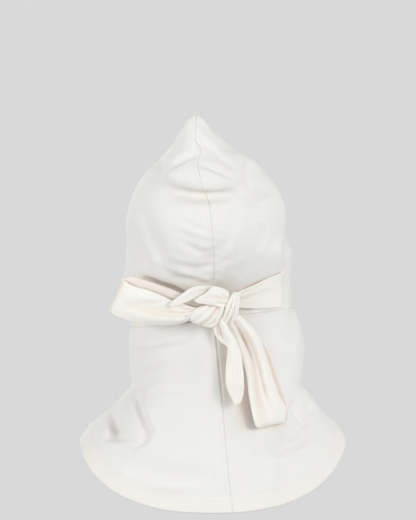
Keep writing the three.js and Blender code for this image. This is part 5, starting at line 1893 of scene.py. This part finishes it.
def backdrop(tree, horizon, ceiling, ground):
    """An even pale horizon that darkens towards the ceiling and the ground."""
    place = tree.nodes.new("ShaderNodeTexCoord")
    parts = tree.nodes.new("ShaderNodeSeparateXYZ")
    height = tree.nodes.new("ShaderNodeMapRange")
    height.inputs["From Min"].default_value = -1
    ramp = tree.nodes.new("ShaderNodeValToRGB")
    elements = ramp.color_ramp.elements
    ground_end, *horizon_stops, ceiling_start = BACKDROP_STOPS
    elements[0].position = ground_end
    elements[0].color = (*ground, 1)
    elements[1].position = ceiling_start
    elements[1].color = (*ceiling, 1)
    for position in horizon_stops:
        elements.new(position).color = (*horizon, 1)
    tree.links.new(place.outputs["Generated"], parts.inputs[0])
    tree.links.new(parts.outputs[2], height.inputs["Value"])
    tree.links.new(height.outputs["Result"], ramp.inputs["Fac"])
    tree.links.new(ramp.outputs["Color"], tree.nodes["Background"].inputs["Color"])


class CAP_OT_stage(bpy.types.Operator):
    """Sets the backdrop, the soft lights and the camera"""

    bl_idname = "cap.stage"
    bl_label = "Stage"

    def execute(self, context):
        scene = context.scene
        tones = scene.cap_colours
        world = bpy.data.worlds.new("studio")
        world.use_nodes = True
        backdrop(world.node_tree, tuple(tones.backdrop), tuple(tones.ceiling), tuple(tones.ground))
        scene.world = world
        for name, light in LIGHTS.items():
            soft_light(name, *light)
        camera = bpy.data.objects.new("camera", bpy.data.cameras.new("camera"))
        away = Vector((0, 1, 0))
        camera.location = Vector(CAMERA_CENTRE) + away * CAMERA_DISTANCE
        camera.rotation_euler = (-away).to_track_quat("-Z", "Y").to_euler()
        camera.data.lens = CAMERA_LENS
        link_to_scene(camera)
        scene.camera = camera
        scene.view_settings.view_transform = "Standard"
        return {"FINISHED"}


BUILD_STEPS = (
    ("cap.crown", "Crown panels"),
    ("cap.yoke", "Yoke panels"),
    ("cap.hem", "Hem"),
    ("cap.binding", "Face binding"),
    ("cap.bands", "Tie bands"),
    ("cap.loops", "Bow loops"),
    ("cap.tails", "Tails"),
    ("cap.knot", "Knot"),
    ("cap.stage", "Stage"),
)


class CAP_PT_sidebar(bpy.types.Panel):
    """The cap's sizes, colours and building steps"""

    bl_idname = "CAP_PT_sidebar"
    bl_label = "Underscarf Cap"
    bl_space_type = "VIEW_3D"
    bl_region_type = "UI"
    bl_category = "Cap"

    def draw(self, context):
        column = self.layout.column()
        for group in (context.scene.cap_sizes, context.scene.cap_colours):
            for name in group.__annotations__:
                column.prop(group, name)
        for operator, label in BUILD_STEPS:
            column.operator(operator, text=label)


CLASSES = (
    CapSizes,
    CapColours,
    CAP_OT_crown,
    CAP_OT_yoke,
    CAP_OT_hem,
    CAP_OT_binding,
    CAP_OT_bands,
    CAP_OT_loops,
    CAP_OT_tails,
    CAP_OT_knot,
    CAP_OT_stage,
    CAP_PT_sidebar,
)


def register():
    for item in CLASSES:
        bpy.utils.register_class(item)
    bpy.types.Scene.cap_sizes = bpy.props.PointerProperty(type=CapSizes)
    bpy.types.Scene.cap_colours = bpy.props.PointerProperty(type=CapColours)


def unregister():
    del bpy.types.Scene.cap_colours
    del bpy.types.Scene.cap_sizes
    for item in reversed(CLASSES):
        bpy.utils.unregister_class(item)


def main():
    register()
    for operator, _ in BUILD_STEPS:
        group, name = operator.split(".")
        getattr(getattr(bpy.ops, group), name)()


if __name__ == "__main__":
    main()
